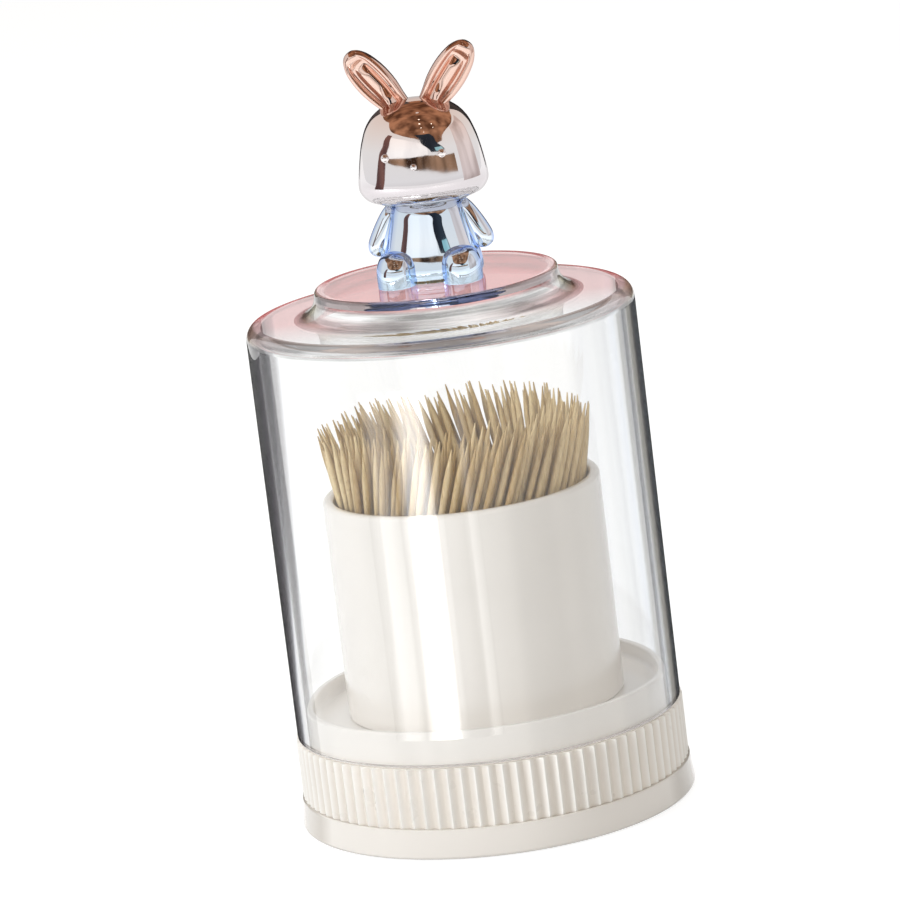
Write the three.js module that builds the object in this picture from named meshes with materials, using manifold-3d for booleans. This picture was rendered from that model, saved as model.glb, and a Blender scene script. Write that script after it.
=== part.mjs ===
// Toothpick holder: a fluted round base with a dish, a loose cup full of toothpicks,
// and a clear cover that lifts off by the rabbit figure on its top.
// Millimetres, +Z up. The origin is on the table under the middle of the base; the figure faces -Y.
import * as THREE from "three";
import { mergeVertices } from "three/addons/utils/BufferGeometryUtils.js";
import Module from "manifold-3d";

const wasm = await Module();
wasm.setup();

// Clear cover
const coverRadius = 44;
const coverWall = 2.4;
const coverHeight = 95.7; // lower edge to the flat shoulder
const coverCornerRadius = 3;
const coverInnerCornerRadius = 1.2;
const plateauRadius = 27.6; // the raised disc that carries the figure
const plateauRise = 6.3;
const plateauEdgeRadius = 0.9;

// Fluted ring
const ringHeight = 13.85;
const ringProud = 0.45; // how far the flutes' sharp edges stand out past the cover
const fluteCount = 90;
const fluteDepth = 0.6;
const ringFlangeWidth = 2.4;
const ringFlangeHeight = 2;

// Foot
const footHeight = 6.85;
const footLedge = 0.25; // how far its upper edge stands out past the flutes
const footFlare = 0.55; // how much wider it is at the bottom
const footWall = 3;
const footFloor = 2.2;
const footEdgeRadius = 0.8;

// Anti-slip pad, in a groove under the foot
const padWidth = 7.4;
const padThickness = 1.2;
const padProud = 0.3;
const padInset = 4.2; // from the foot's outside to the pad

// Dished tray, whose collar guides the cover
const collarHeight = 7.8; // above the ring
const collarWall = 1.6;
const collarEdgeRadius = 0.5;
const dishDepth = 3.8;
const dishFilletRadius = 1.2;
const trayFloor = 2.4;
const spigotHeight = 1; // the low round step that the cup sits over

// Cup
const cupRadius = 31.6;
const cupWall = 2.6;
const cupHeight = 50.6;
const cupFloor = 1.8;
const cupFootWidth = 4.2;
const cupFootEdgeRadius = 0.5;
const cupRimEdgeShare = 0.3; // of the wall
const cupFilletRadius = 1.6;

// Screws that hold the foot, the ring and the tray together
const screwCount = 3;
const screwCircleRadius = 22;
const screwShankRadius = 1.4;
const screwPointLength = 1.5;
const screwLength = 11;
const screwHeadRadius = 2.9;
const screwHeadHeight = 1.8;
const screwHeadSink = 0.2;
const screwRecessWidth = 0.9;
const screwRecessSpanShare = 1.2; // of the head's radius
const screwRecessDepth = 1;
const screwGrip = 2.2; // foot material under the head
const bossWall = 1.8;

// Toothpicks. The bunch is twisted and splayed as a whole, so that no two of them meet.
const pickLength = 65;
const pickDiameter = 1.8;
const pickPointLength = 10;
const pickBluntDiameter = 0.3;
const pickGap = 0.15;
const pickWallClearance = 0.6;
const pickRings = 4;
const singlePicks = 20; // the front ones of the outer ring, each a piece of its own
const bunchTwist = THREE.MathUtils.degToRad(45);
const bunchSplayShare = 1.3; // the bunch's width at the reference height, over its width at the bottom
const bunchHeightShare = 0.945; // the reference height, over the length of a toothpick
const bunchFacing = THREE.MathUtils.degToRad(-90);
const tieHeight = 0.9; // the thin web that joins the lower ends of the picks of one group

// Figure: the sizes of its own pieces
const figureTurn = THREE.MathUtils.degToRad(-9);
const bodyHalfWidth = 11.2;
const bodyHalfDepth = 9.2;
const bodyHeight = 17.5;
const neckRadius = 4.2;
const neckHeight = 4;
const pegRadius = 3;
const shoeHalfWidth = 4.4;
const shoeHalfDepth = 5.6;
const shoeHeight = 7.6;
const shoeSpacing = 14.8;
const shoeForward = 6.4;
const headHalfWidth = 14.6;
const headHalfDepth = 12.6;
const headHeight = 23;
const headWall = 2;
const eyeRadius = 0.95;
const eyeSpacing = 12.8;
const eyeHeightShare = 0.5; // of the head's height
const noseRadius = 0.75;
const noseHeightShare = 0.4;
const earHalfWidth = 3.9;
const earHalfThickness = 2.5;
const earLength = 17.6;
const earTilt = THREE.MathUtils.degToRad(38);
const earRootSpacing = 6.2;
const earRootDrop = 2.4; // how far the root lies below the top of the head
const earGrooveShare = 0.66; // of the ear's width, thickness and length
const earGrooveLiftShare = 0.227; // of the ear's length, from its root to the groove
const earRidgeShare = 0.22;
const armHalfWidth = 2.5;
const armHalfThickness = 2.9;
const armLength = 12.4;
const armTilt = THREE.MathUtils.degToRad(24);
const shoulderSpacing = 15.6;
const shoulderDrop = 0.4; // below the top of the body
const limbPegRadius = 1.2;
const limbPegLength = 4.4;

// Fits
const seatGap = 0.3;
const slideClearance = 0.4;
const screwClearance = 0.2;
const cutOverrun = 1;

// Outlines of the rounded pieces, as shares of their half width and of their length: from the
// lower end, or from the root for the ears and the arms
const bodyShares = [
  [0, 0],
  [0.93, 0],
  [1, 0.09],
  [0.98, 0.26],
  [0.89, 0.5],
  [0.77, 0.76],
  [0.7, 0.9],
  [0.6, 1],
  [0, 1],
];
const shoeShares = [
  [0, 0],
  [0.95, 0],
  [1, 0.14],
  [0.99, 0.48],
  [0.88, 0.74],
  [0.6, 0.93],
  [0.28, 0.99],
  [0, 1],
];
const headShares = [
  [0, 0],
  [0.74, 0],
  [0.89, 0.05],
  [0.98, 0.14],
  [1, 0.23],
  [0.978, 0.36],
  [0.93, 0.5],
  [0.88, 0.62],
  [0.79, 0.76],
  [0.63, 0.88],
  [0.37, 0.97],
  [0, 1],
];
const earShares = [
  [0, 0],
  [0.5, 0.03],
  [0.72, 0.14],
  [0.94, 0.34],
  [1, 0.5],
  [0.95, 0.68],
  [0.78, 0.84],
  [0.48, 0.95],
  [0, 1],
];
const armShares = [
  [0, 0],
  [0.4, 0.03],
  [0.7, 0.18],
  [0.9, 0.42],
  [1, 0.68],
  [0.95, 0.84],
  [0.62, 0.96],
  [0, 1],
];
const beadShares = [
  [0, -1],
  [0.7, -0.7],
  [1, 0],
  [0.7, 0.7],
  [0, 1],
];

// Segments round each kind of piece
const roundSegments = 40;
const figureSegments = 24;
const limbSegments = 12;
const screwSegments = 12;
const tieSteps = 12;
const pickSegments = 5;
const groupedPickSegments = 4;
const beadSegments = 8;
const arcSteps = 3;
const fluteSteps = 4;

// Radii that follow from one another, from the cover inwards and outwards
const coverBore = coverRadius - coverWall;
const trayRadius = coverBore - slideClearance;
const dishRadius = trayRadius - collarWall;
const ringRadius = coverRadius + ringProud;
const ringBore = trayRadius + seatGap;
const footTopRadius = ringRadius + footLedge;
const footRadius = footTopRadius + footFlare;
const padOuterRadius = footRadius - padInset;
const padInnerRadius = padOuterRadius - padWidth;
const cupBore = cupRadius - cupWall;
const cupRecessRadius = cupRadius - cupFootWidth;
const spigotRadius = cupRecessRadius - slideClearance;
const screwHoleRadius = screwShankRadius + screwClearance;
const counterboreRadius = screwHeadRadius + seatGap;
const pickRadius = pickDiameter / 2;

// Heights above the table
const footTopZ = padProud + footHeight;
const ringTopZ = footTopZ + ringHeight;
const skirtBottomZ = footTopZ + ringFlangeHeight;
const collarTopZ = ringTopZ + collarHeight;
const dishFloorZ = collarTopZ - dishDepth;
const spigotTopZ = dishFloorZ + spigotHeight;
const screwSeatZ = padProud + screwHeadHeight + screwHeadSink;
const bossMeetZ = screwSeatZ + screwGrip;
const cupRecessZ = spigotTopZ + seatGap;
const cupFloorZ = cupRecessZ + cupFloor;
const cupRimZ = dishFloorZ + cupHeight;
const coverBottomZ = ringTopZ + seatGap;
const shoulderZ = coverBottomZ + coverHeight;
const plateauZ = shoulderZ + plateauRise;

// A closed geometry as a solid for joining and cutting.
function solidOf(geometry) {
  const bare = geometry.clone();
  bare.deleteAttribute("normal");
  bare.deleteAttribute("uv");
  const merged = mergeVertices(bare);
  return new wasm.Manifold(
    new wasm.Mesh({
      numProp: 3,
      vertProperties: new Float32Array(merged.attributes.position.array),
      triVerts: new Uint32Array(merged.index.array),
    }),
  );
}

// A solid as a named mesh, added to its group.
function addPart(group, name, solid, material) {
  const { vertProperties, triVerts } = solid.getMesh();
  const geometry = new THREE.BufferGeometry();
  geometry.setAttribute("position", new THREE.BufferAttribute(vertProperties, 3));
  geometry.setIndex(new THREE.BufferAttribute(triVerts, 1));
  const faceted = geometry.toNonIndexed();
  faceted.computeVertexNormals();
  const mesh = new THREE.Mesh(faceted, material);
  mesh.name = name;
  group.add(mesh);
  return mesh;
}

// A solid of revolution about Z from an outline of [radius, z], with the material on its left.
function turned(outline, segments = roundSegments) {
  const points = outline.map(([radius, z]) => new THREE.Vector2(radius, z));
  return new THREE.LatheGeometry(points, segments).rotateX(Math.PI / 2);
}

// A closed ring outline: the first point is repeated at the end.
const closed = (outline) => [...outline, outline[0]];

// Points of an arc in an outline, with angles in quarter turns from the outward direction.
function arc(centreRadius, centreZ, radius, fromQuarter, toQuarter, steps = arcSteps) {
  return Array.from({ length: steps + 1 }, (_, i) => {
    const angle = (fromQuarter + ((toQuarter - fromQuarter) * i) / steps) * (Math.PI / 2);
    return [centreRadius + radius * Math.cos(angle), centreZ + radius * Math.sin(angle)];
  });
}

// A cylinder on the Z axis between two heights.
function post(radius, fromZ, toZ, segments = screwSegments) {
  return turned(
    [
      [0, fromZ],
      [radius, fromZ],
      [radius, toZ],
      [0, toZ],
    ],
    segments,
  );
}

// A rounded form: a turned outline of shares, stretched to its half width, half depth and length.
function swell(shares, halfWidth, halfDepth, length, segments = limbSegments) {
  return turned(shares, segments).scale(halfWidth, halfDepth, length);
}

// The points round the axis at which the screws stand.
const screwPlaces = Array.from({ length: screwCount }, (_, i) => {
  const angle = (2 * Math.PI * i) / screwCount + Math.PI / 2;
  return [screwCircleRadius * Math.cos(angle), screwCircleRadius * Math.sin(angle)];
});

const colours = {
  base: new THREE.MeshStandardMaterial({ color: 0xefebe3, roughness: 0.45 }),
  foot: new THREE.MeshStandardMaterial({ color: 0xece6dd, roughness: 0.2 }),
  tray: new THREE.MeshStandardMaterial({ color: 0xf1ede6, roughness: 0.25 }),
  pad: new THREE.MeshStandardMaterial({ color: 0xd8d5d0, roughness: 0.9 }),
  steel: new THREE.MeshStandardMaterial({ color: 0xb9bcc0, roughness: 0.3, metalness: 1 }),
  clear: new THREE.MeshStandardMaterial({
    color: 0xf4f8f8,
    roughness: 0.05,
    transparent: true,
    opacity: 0.3,
  }),
  cup: new THREE.MeshStandardMaterial({ color: 0xefeae4, roughness: 0.25 }),
  bamboo: new THREE.MeshStandardMaterial({ color: 0xd9bd86, roughness: 0.7 }),
  blue: new THREE.MeshStandardMaterial({ color: 0x9fc4ea, roughness: 0.08, metalness: 1 }),
  rose: new THREE.MeshStandardMaterial({ color: 0xd9a48c, roughness: 0.08, metalness: 1 }),
};

function makeFoot() {
  const floorTopZ = padProud + footFloor;
  const bore = footTopRadius - footWall;
  let foot = solidOf(
    turned([
      [0, padProud],
      [padInnerRadius - seatGap, padProud],
      [padInnerRadius - seatGap, padThickness],
      [padOuterRadius + seatGap, padThickness],
      [padOuterRadius + seatGap, padProud],
      ...arc(footRadius - footEdgeRadius, padProud + footEdgeRadius, footEdgeRadius, -1, 0, 2),
      [footTopRadius, footTopZ],
      [bore, footTopZ],
      [bore, floorTopZ],
      [0, floorTopZ],
    ]),
  );
  for (const [x, y] of screwPlaces) {
    const boss = post(counterboreRadius + bossWall, padProud, bossMeetZ).translate(x, y, 0);
    const hole = post(screwHoleRadius, padProud, bossMeetZ + cutOverrun).translate(x, y, 0);
    const counterbore = post(counterboreRadius, -cutOverrun, screwSeatZ).translate(x, y, 0);
    foot = foot.add(solidOf(boss)).subtract(solidOf(hole)).subtract(solidOf(counterbore));
  }
  return foot;
}

function makePad() {
  return solidOf(
    turned(
      closed([
        [padInnerRadius, 0],
        [padOuterRadius, 0],
        [padOuterRadius, padThickness],
        [padInnerRadius, padThickness],
      ]),
    ),
  );
}

// The ring's outside is a row of shallow hollow flutes that meet in sharp edges.
function makeFlutedRing() {
  const outline = new THREE.Shape();
  const points = fluteCount * fluteSteps;
  for (let i = 0; i < points; i++) {
    const share = (i % fluteSteps) / fluteSteps;
    const radius = ringRadius - fluteDepth * 4 * share * (1 - share);
    const angle = (2 * Math.PI * i) / points;
    const place = [radius * Math.cos(angle), radius * Math.sin(angle)];
    if (i) outline.lineTo(...place);
    else outline.moveTo(...place);
  }
  outline.closePath();
  const blank = new THREE.ExtrudeGeometry(outline, { depth: ringHeight, bevelEnabled: false, steps: 1 });
  const flangeBore = post(ringBore - ringFlangeWidth, footTopZ - cutOverrun, ringTopZ, roundSegments);
  const bore = post(ringBore, skirtBottomZ, ringTopZ + cutOverrun, roundSegments);
  return solidOf(blank.translate(0, 0, footTopZ))
    .subtract(solidOf(flangeBore))
    .subtract(solidOf(bore));
}

function makeTray() {
  const undersideZ = dishFloorZ - trayFloor;
  const skirtBore = trayRadius - collarWall;
  const filletCentre = [dishRadius - dishFilletRadius, dishFloorZ + dishFilletRadius];
  let tray = solidOf(
    turned([
      [0, undersideZ],
      [skirtBore, undersideZ],
      [skirtBore, skirtBottomZ],
      [trayRadius, skirtBottomZ],
      ...arc(trayRadius - collarEdgeRadius, collarTopZ - collarEdgeRadius, collarEdgeRadius, 0, 1, 2),
      ...arc(dishRadius + collarEdgeRadius, collarTopZ - collarEdgeRadius, collarEdgeRadius, 1, 2, 2),
      ...arc(...filletCentre, dishFilletRadius, 0, -1),
      [spigotRadius, dishFloorZ],
      [spigotRadius, spigotTopZ],
      [0, spigotTopZ],
    ]),
  );
  const pilotTopZ = screwSeatZ + screwLength + seatGap;
  for (const [x, y] of screwPlaces) {
    const boss = post(screwHoleRadius + bossWall, bossMeetZ, undersideZ + trayFloor / 2);
    const pilot = post(screwHoleRadius, bossMeetZ - cutOverrun, pilotTopZ).translate(x, y, 0);
    tray = tray.add(solidOf(boss.translate(x, y, 0))).subtract(solidOf(pilot));
  }
  return tray;
}

// A self-tapping screw, head down, with its seat at z = 0.
function makeScrew() {
  const shank = turned(
    [
      [0, -screwHeadHeight],
      [screwHeadRadius, -screwHeadHeight],
      [screwHeadRadius, 0],
      [screwShankRadius, 0],
      [screwShankRadius, screwLength - screwPointLength],
      [0, screwLength],
    ],
    screwSegments,
  );
  const span = screwHeadRadius * screwRecessSpanShare;
  const bar = new THREE.BoxGeometry(span, screwRecessWidth, 2 * screwRecessDepth);
  bar.translate(0, 0, -screwHeadHeight);
  const crossBar = bar.clone().rotateZ(Math.PI / 2);
  return solidOf(shank).subtract(solidOf(bar)).subtract(solidOf(crossBar));
}

function makeCup() {
  const rimEdge = cupWall * cupRimEdgeShare;
  return solidOf(
    turned([
      [0, cupRecessZ],
      [cupRecessRadius, cupRecessZ],
      [cupRecessRadius, dishFloorZ],
      ...arc(cupRadius - cupFootEdgeRadius, dishFloorZ + cupFootEdgeRadius, cupFootEdgeRadius, -1, 0, 2),
      ...arc(cupRadius - rimEdge, cupRimZ - rimEdge, rimEdge, 0, 1, 2),
      ...arc(cupBore + rimEdge, cupRimZ - rimEdge, rimEdge, 1, 2, 2),
      ...arc(cupBore - cupFilletRadius, cupFloorZ + cupFilletRadius, cupFilletRadius, 0, -1, 2),
      [0, cupFloorZ],
    ]),
  );
}

// The cover's wall turns in at a rounded corner to a flat shoulder, then sweeps up to the plateau.
function makeCover() {
  const flankRadius = plateauRise - plateauEdgeRadius;
  const flankCentre = [plateauRadius + flankRadius, shoulderZ + flankRadius];
  const innerFlankRadius = flankRadius + coverWall;
  const undersideZ = shoulderZ - coverWall;
  const plateauUndersideZ = plateauZ - coverWall;
  const flankTop = Math.asin((flankCentre[1] - plateauUndersideZ) / innerFlankRadius) / (Math.PI / 2);
  const holeRadius = pegRadius + seatGap;
  const corner = [coverRadius - coverCornerRadius, shoulderZ - coverCornerRadius];
  const innerCorner = [coverBore - coverInnerCornerRadius, undersideZ - coverInnerCornerRadius];
  const plateauEdge = [plateauRadius - plateauEdgeRadius, plateauZ - plateauEdgeRadius];
  return solidOf(
    turned(
      closed([
        [coverBore, coverBottomZ],
        [coverRadius, coverBottomZ],
        ...arc(...corner, coverCornerRadius, 0, 1),
        ...arc(...flankCentre, flankRadius, 3, 2, 4),
        ...arc(...plateauEdge, plateauEdgeRadius, 0, 1, 2).slice(1),
        [holeRadius, plateauZ],
        [holeRadius, plateauUndersideZ],
        ...arc(...flankCentre, innerFlankRadius, 2 + flankTop, 3),
        ...arc(...innerCorner, coverInnerCornerRadius, 1, 0, 2),
      ]),
    ),
  );
}

// Toothpicks

// Where the bunch's twist and splay move a point of the bottom, over the reference height.
const bunchDrift = new THREE.Vector2(
  bunchSplayShare * Math.cos(bunchTwist) - 1,
  bunchSplayShare * Math.sin(bunchTwist),
);
const bunchHeight = pickLength * bunchHeightShare;

// How many times as far from the axis a toothpick is at a height above its lower end.
function bunchWidening(height) {
  const share = height / bunchHeight;
  return Math.hypot(1 + share * bunchDrift.x, share * bunchDrift.y);
}

const rimWidening = Math.max(1, bunchWidening(cupRimZ - cupFloorZ));
const bunchRadius = (cupBore - pickRadius - pickWallClearance) / rimWidening;
const pickLean = Math.atan((bunchRadius * bunchDrift.length()) / bunchHeight);
const pickSpacing = (pickDiameter + pickGap) / Math.cos(pickLean);
const tieZ = cupFloorZ + seatGap;
const pickBottomZ = cupFloorZ + seatGap + pickRadius * Math.sin(pickLean);
const rimHeight = cupRimZ - pickBottomZ;
const rimTurn = Math.atan2(
  (rimHeight / bunchHeight) * bunchDrift.y,
  1 + (rimHeight / bunchHeight) * bunchDrift.x,
);
const frontAngle = bunchFacing - rimTurn; // the lower ends of the picks that show in front at the rim

// The bunch round the axis: the front, as wide as the single picks of the outer ring, then three equal sides.
const ringRadiusOf = (ring) => bunchRadius - ring * pickSpacing;
const ringCountOf = (ring) => Math.floor((2 * Math.PI * ringRadiusOf(ring)) / pickSpacing);
const outerStep = (2 * Math.PI) / ringCountOf(0);
const frontSpan = singlePicks * outerStep;
const frontStart = frontAngle - (frontSpan + outerStep) / 2;
const bunchSides = ["front", "right", "back", "left"];
const sideSpan = (2 * Math.PI - frontSpan) / (bunchSides.length - 1);

function sideAt(offset) {
  return bunchSides[offset < frontSpan ? 0 : 1 + Math.floor((offset - frontSpan) / sideSpan)];
}

// Every toothpick, going round: its ring, its angle from the start of the front, its side,
// its lower end and its direction.
function layPicks() {
  const picks = [];
  for (let ring = 0; ring < pickRings; ring++) {
    const radius = ringRadiusOf(ring);
    const count = ringCountOf(ring);
    for (let i = 0; i < count; i++) {
      const angle = frontAngle + (2 * Math.PI * (i + ring / 2)) / count;
      const offset = THREE.MathUtils.euclideanModulo(angle - frontStart, 2 * Math.PI);
      const x = radius * Math.cos(angle);
      const y = radius * Math.sin(angle);
      const drift = [bunchDrift.x * x - bunchDrift.y * y, bunchDrift.y * x + bunchDrift.x * y];
      const along = new THREE.Vector3(...drift, bunchHeight).normalize();
      const bottom = new THREE.Vector3(x, y, pickBottomZ);
      picks.push({ ring, offset, side: sideAt(offset), bottom, along });
    }
  }
  return picks.sort((a, b) => a.offset - b.offset);
}

// Turns a piece from +Z to a toothpick's direction and puts it at its lower end.
function pickMatrix({ bottom, along }) {
  const turn = new THREE.Quaternion().setFromUnitVectors(new THREE.Vector3(0, 0, 1), along);
  return new THREE.Matrix4().compose(bottom, turn, new THREE.Vector3(1, 1, 1));
}

// A round toothpick with two long points.
function makePick() {
  const bluntRadius = pickBluntDiameter / 2;
  return solidOf(
    turned(
      [
        [0, 0],
        [bluntRadius, 0],
        [pickRadius, pickPointLength],
        [pickRadius, pickLength - pickPointLength],
        [bluntRadius, pickLength],
        [0, pickLength],
      ],
      pickSegments,
    ),
  );
}

// The flat web in which the lower ends of one group stand: its rows, outermost first,
// each run from the first to the last of their picks, so its two ends are stepped.
function makeTie(rows) {
  const outline = new THREE.Shape();
  const half = pickSpacing / 2;
  const outer = rows[0];
  const inner = rows[rows.length - 1];
  const at = (radius, angle) => [radius * Math.cos(angle), radius * Math.sin(angle)];
  const sweep = (radius, from, to) => {
    for (let i = 0; i <= tieSteps; i++) {
      outline.lineTo(...at(radius, from + ((to - from) * i) / tieSteps));
    }
  };
  outline.moveTo(...at(outer.radius, outer.from));
  sweep(outer.radius + half, outer.from, outer.to);
  const last = rows.length - 1;
  for (let i = 0; i < last; i++) {
    outline.lineTo(...at(rows[i].radius - half, rows[i].to));
    outline.lineTo(...at(rows[i].radius - half, rows[i + 1].to));
  }
  sweep(inner.radius - half, inner.to, inner.from);
  for (let i = last - 1; i >= 0; i--) {
    outline.lineTo(...at(rows[i].radius - half, rows[i + 1].from));
    outline.lineTo(...at(rows[i].radius - half, rows[i].from));
  }
  outline.closePath();
  const web = new THREE.ExtrudeGeometry(outline, { depth: tieHeight, bevelEnabled: false, steps: 1 });
  return web.translate(0, 0, tieZ);
}

// A group of toothpicks whose hidden lower ends are sunk in one thin web.
function makePickGroup(picks) {
  const sunk = tieHeight / 2 - (pickBottomZ - tieZ);
  const stick = turned(
    [
      [0, sunk],
      [pickRadius, sunk],
      [pickRadius, pickLength - pickPointLength],
      [0, pickLength],
    ],
    groupedPickSegments,
  );
  const rings = [...new Set(picks.map((pick) => pick.ring))].sort();
  const rows = rings.map((ring) => {
    const row = picks.filter((pick) => pick.ring === ring);
    const radius = ringRadiusOf(ring);
    const margin = pickRadius / radius;
    const from = frontStart + row[0].offset - margin;
    const to = frontStart + row[row.length - 1].offset + margin;
    return { radius, from, to };
  });
  const sticks = picks.map((pick) => solidOf(stick.clone().applyMatrix4(pickMatrix(pick))));
  return sticks.reduce((whole, piece) => whole.add(piece), solidOf(makeTie(rows)));
}

function addToothpicks(group) {
  const picks = layPicks();
  const singles = picks.filter((one) => one.ring === 0 && one.side === bunchSides[0]);
  const pick = makePick();
  singles.forEach((single, i) => {
    const name = "toothpick_" + String(i + 1).padStart(2, "0");
    const mesh = addPart(group, name, pick, colours.bamboo);
    pickMatrix(single).decompose(mesh.position, mesh.quaternion, mesh.scale);
  });
  for (const side of bunchSides) {
    const grouped = picks.filter((one) => one.side === side && !singles.includes(one));
    addPart(group, "toothpicks_" + side, makePickGroup(grouped), colours.bamboo);
  }
}

// Figure. Its own frame has its soles at z = 0 and its face towards -Y.

const headBottom = bodyHeight + seatGap;

function bodyForm(growth) {
  return swell(bodyShares, bodyHalfWidth + growth, bodyHalfDepth + growth, bodyHeight, figureSegments);
}

function headForm(growth, segments) {
  const width = headHalfWidth + growth;
  const depth = headHalfDepth + growth;
  const form = swell(headShares, width, depth, headHeight + 2 * growth, segments);
  return form.translate(0, 0, headBottom - growth);
}

// Puts a limb, made upright from z = 0, at its root and leans it sideways.
function leaned(geometry, side, tilt, spacing, z) {
  return geometry.rotateY(side * tilt).translate((side * spacing) / 2, 0, z);
}

const earRootZ = headBottom + headHeight - earRootDrop;
const shoulderZInFigure = bodyHeight - shoulderDrop;

function makeEar(side) {
  const place = (geometry) => solidOf(leaned(geometry, side, earTilt, earRootSpacing, earRootZ));
  const grooveWidth = earHalfWidth * earGrooveShare;
  const grooveDepth = earHalfThickness * earGrooveShare;
  const grooveLength = earLength * earGrooveShare;
  const lift = earLength * earGrooveLiftShare;
  const groove = swell(earShares, grooveWidth, grooveDepth, grooveLength);
  groove.translate(0, -earHalfThickness, lift);
  const ridge = swell(earShares, earHalfWidth * earRidgeShare, grooveDepth, grooveLength);
  ridge.translate(0, -earHalfThickness * (1 - earGrooveShare), lift);
  const peg = post(limbPegRadius, -limbPegLength + earRootDrop, earLength / 2, beadSegments);
  return place(swell(earShares, earHalfWidth, earHalfThickness, earLength))
    .subtract(place(groove))
    .add(place(ridge))
    .subtract(solidOf(headForm(seatGap, figureSegments)))
    .add(place(peg));
}

function makeArm(side) {
  const place = (geometry) =>
    solidOf(leaned(geometry, side, Math.PI - armTilt, shoulderSpacing, shoulderZInFigure));
  const room = bodyForm(seatGap);
  return place(swell(armShares, armHalfWidth, armHalfThickness, armLength))
    .subtract(solidOf(room))
    .add(solidOf(armPeg(side, limbPegRadius)));
}

// The pin that locates an arm: level, from inside the body out into the arm.
function armPeg(side, radius) {
  const z = bodyHeight - armLength / 2;
  const outside = shoulderSpacing / 2 + (armLength / 2) * Math.tan(armTilt);
  const pin = post(radius, outside - limbPegLength, outside, beadSegments);
  return pin.rotateY((side * Math.PI) / 2).translate(0, 0, z);
}

function makeBody() {
  let body = solidOf(bodyForm(0));
  for (const side of [-1, 1]) {
    const shoe = swell(shoeShares, shoeHalfWidth, shoeHalfDepth, shoeHeight);
    body = body.add(solidOf(shoe.translate((side * shoeSpacing) / 2, -shoeForward, 0)));
    body = body.subtract(solidOf(armPeg(side, limbPegRadius + seatGap)));
  }
  const neck = post(neckRadius, bodyHeight / 2, bodyHeight + neckHeight);
  const peg = post(pegRadius, -coverWall, bodyHeight / 2);
  return body.add(solidOf(neck)).add(solidOf(peg));
}

// The head is a hollow shell, open at the neck.
function makeHead() {
  const hollow = headForm(-headWall, limbSegments);
  const socket = post(neckRadius + seatGap, headBottom - cutOverrun, headBottom + neckHeight);
  let head = solidOf(headForm(0, figureSegments));
  const bead = (radius, x, heightShare) => {
    const ball = swell(beadShares, radius, radius, radius, beadSegments);
    const share = outlineShare(headShares, heightShare);
    const y = -headHalfDepth * share * Math.sqrt(1 - (x / (headHalfWidth * share)) ** 2);
    return solidOf(ball.translate(x, y, headBottom + headHeight * heightShare));
  };
  head = head
    .add(bead(eyeRadius, -eyeSpacing / 2, eyeHeightShare))
    .add(bead(eyeRadius, eyeSpacing / 2, eyeHeightShare))
    .add(bead(noseRadius, 0, noseHeightShare))
    .subtract(solidOf(hollow))
    .subtract(solidOf(socket));
  for (const side of [-1, 1]) {
    const hole = post(limbPegRadius + seatGap, -limbPegLength, limbPegLength, beadSegments);
    head = head.subtract(solidOf(leaned(hole, side, earTilt, earRootSpacing, earRootZ)));
  }
  return head;
}

// The radius share of an outline at a height share, between its two nearest points.
function outlineShare(shares, height) {
  const upper = shares.findIndex(([radius, z]) => radius > 0 && z >= height);
  const [lowRadius, lowZ] = shares[upper - 1];
  const [highRadius, highZ] = shares[upper];
  return lowRadius + ((highRadius - lowRadius) * (height - lowZ)) / (highZ - lowZ);
}

const holder = new THREE.Group();

const base = new THREE.Group();
addPart(base, "base_foot", makeFoot(), colours.foot);
addPart(base, "foot_pad", makePad(), colours.pad);
addPart(base, "fluted_ring", makeFlutedRing(), colours.base);
addPart(base, "tray", makeTray(), colours.tray);
const screw = makeScrew();
screwPlaces.forEach(([x, y], i) => {
  addPart(base, "base_screw_" + (i + 1), screw, colours.steel).position.set(x, y, screwSeatZ);
});

const cup = new THREE.Group();
addPart(cup, "cup", makeCup(), colours.cup);
addToothpicks(cup);

const cover = new THREE.Group();
addPart(cover, "cover_shell", makeCover(), colours.clear);
const figure = new THREE.Group();
figure.position.z = plateauZ;
figure.rotation.z = figureTurn;
addPart(figure, "rabbit_body", makeBody(), colours.blue);
addPart(figure, "rabbit_head", makeHead(), colours.rose);
for (const [side, word] of [[-1, "left"], [1, "right"]]) {
  addPart(figure, "rabbit_ear_" + word, makeEar(side), colours.rose);
  addPart(figure, "rabbit_arm_" + word, makeArm(side), colours.blue);
}
cover.add(figure);

holder.add(base, cup, cover);

export default holder;
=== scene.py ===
import math
import random

import bpy
from mathutils import Matrix, Vector


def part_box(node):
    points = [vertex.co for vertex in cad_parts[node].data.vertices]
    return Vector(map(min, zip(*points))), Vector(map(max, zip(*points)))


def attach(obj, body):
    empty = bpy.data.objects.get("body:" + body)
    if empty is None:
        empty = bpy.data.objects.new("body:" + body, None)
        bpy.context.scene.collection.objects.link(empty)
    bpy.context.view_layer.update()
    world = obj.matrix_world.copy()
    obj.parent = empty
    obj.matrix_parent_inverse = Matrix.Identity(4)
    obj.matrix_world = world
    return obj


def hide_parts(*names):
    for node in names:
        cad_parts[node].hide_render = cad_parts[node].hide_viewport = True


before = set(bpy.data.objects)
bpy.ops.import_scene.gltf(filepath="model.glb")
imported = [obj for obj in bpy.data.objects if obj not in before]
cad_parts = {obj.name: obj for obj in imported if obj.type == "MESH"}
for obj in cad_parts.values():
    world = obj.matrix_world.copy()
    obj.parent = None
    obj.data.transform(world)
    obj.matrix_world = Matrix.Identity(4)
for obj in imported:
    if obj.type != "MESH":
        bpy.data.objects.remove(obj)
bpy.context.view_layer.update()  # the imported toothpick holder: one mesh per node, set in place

# Toothpick holder with a clear cover and a plated rabbit for its knob.
# Sizes in the dictionaries are millimetres and angles degrees, unless a note says otherwise.
mm = 0.001
scene = bpy.context.scene
scene.view_settings.view_transform = "Standard"

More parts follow.
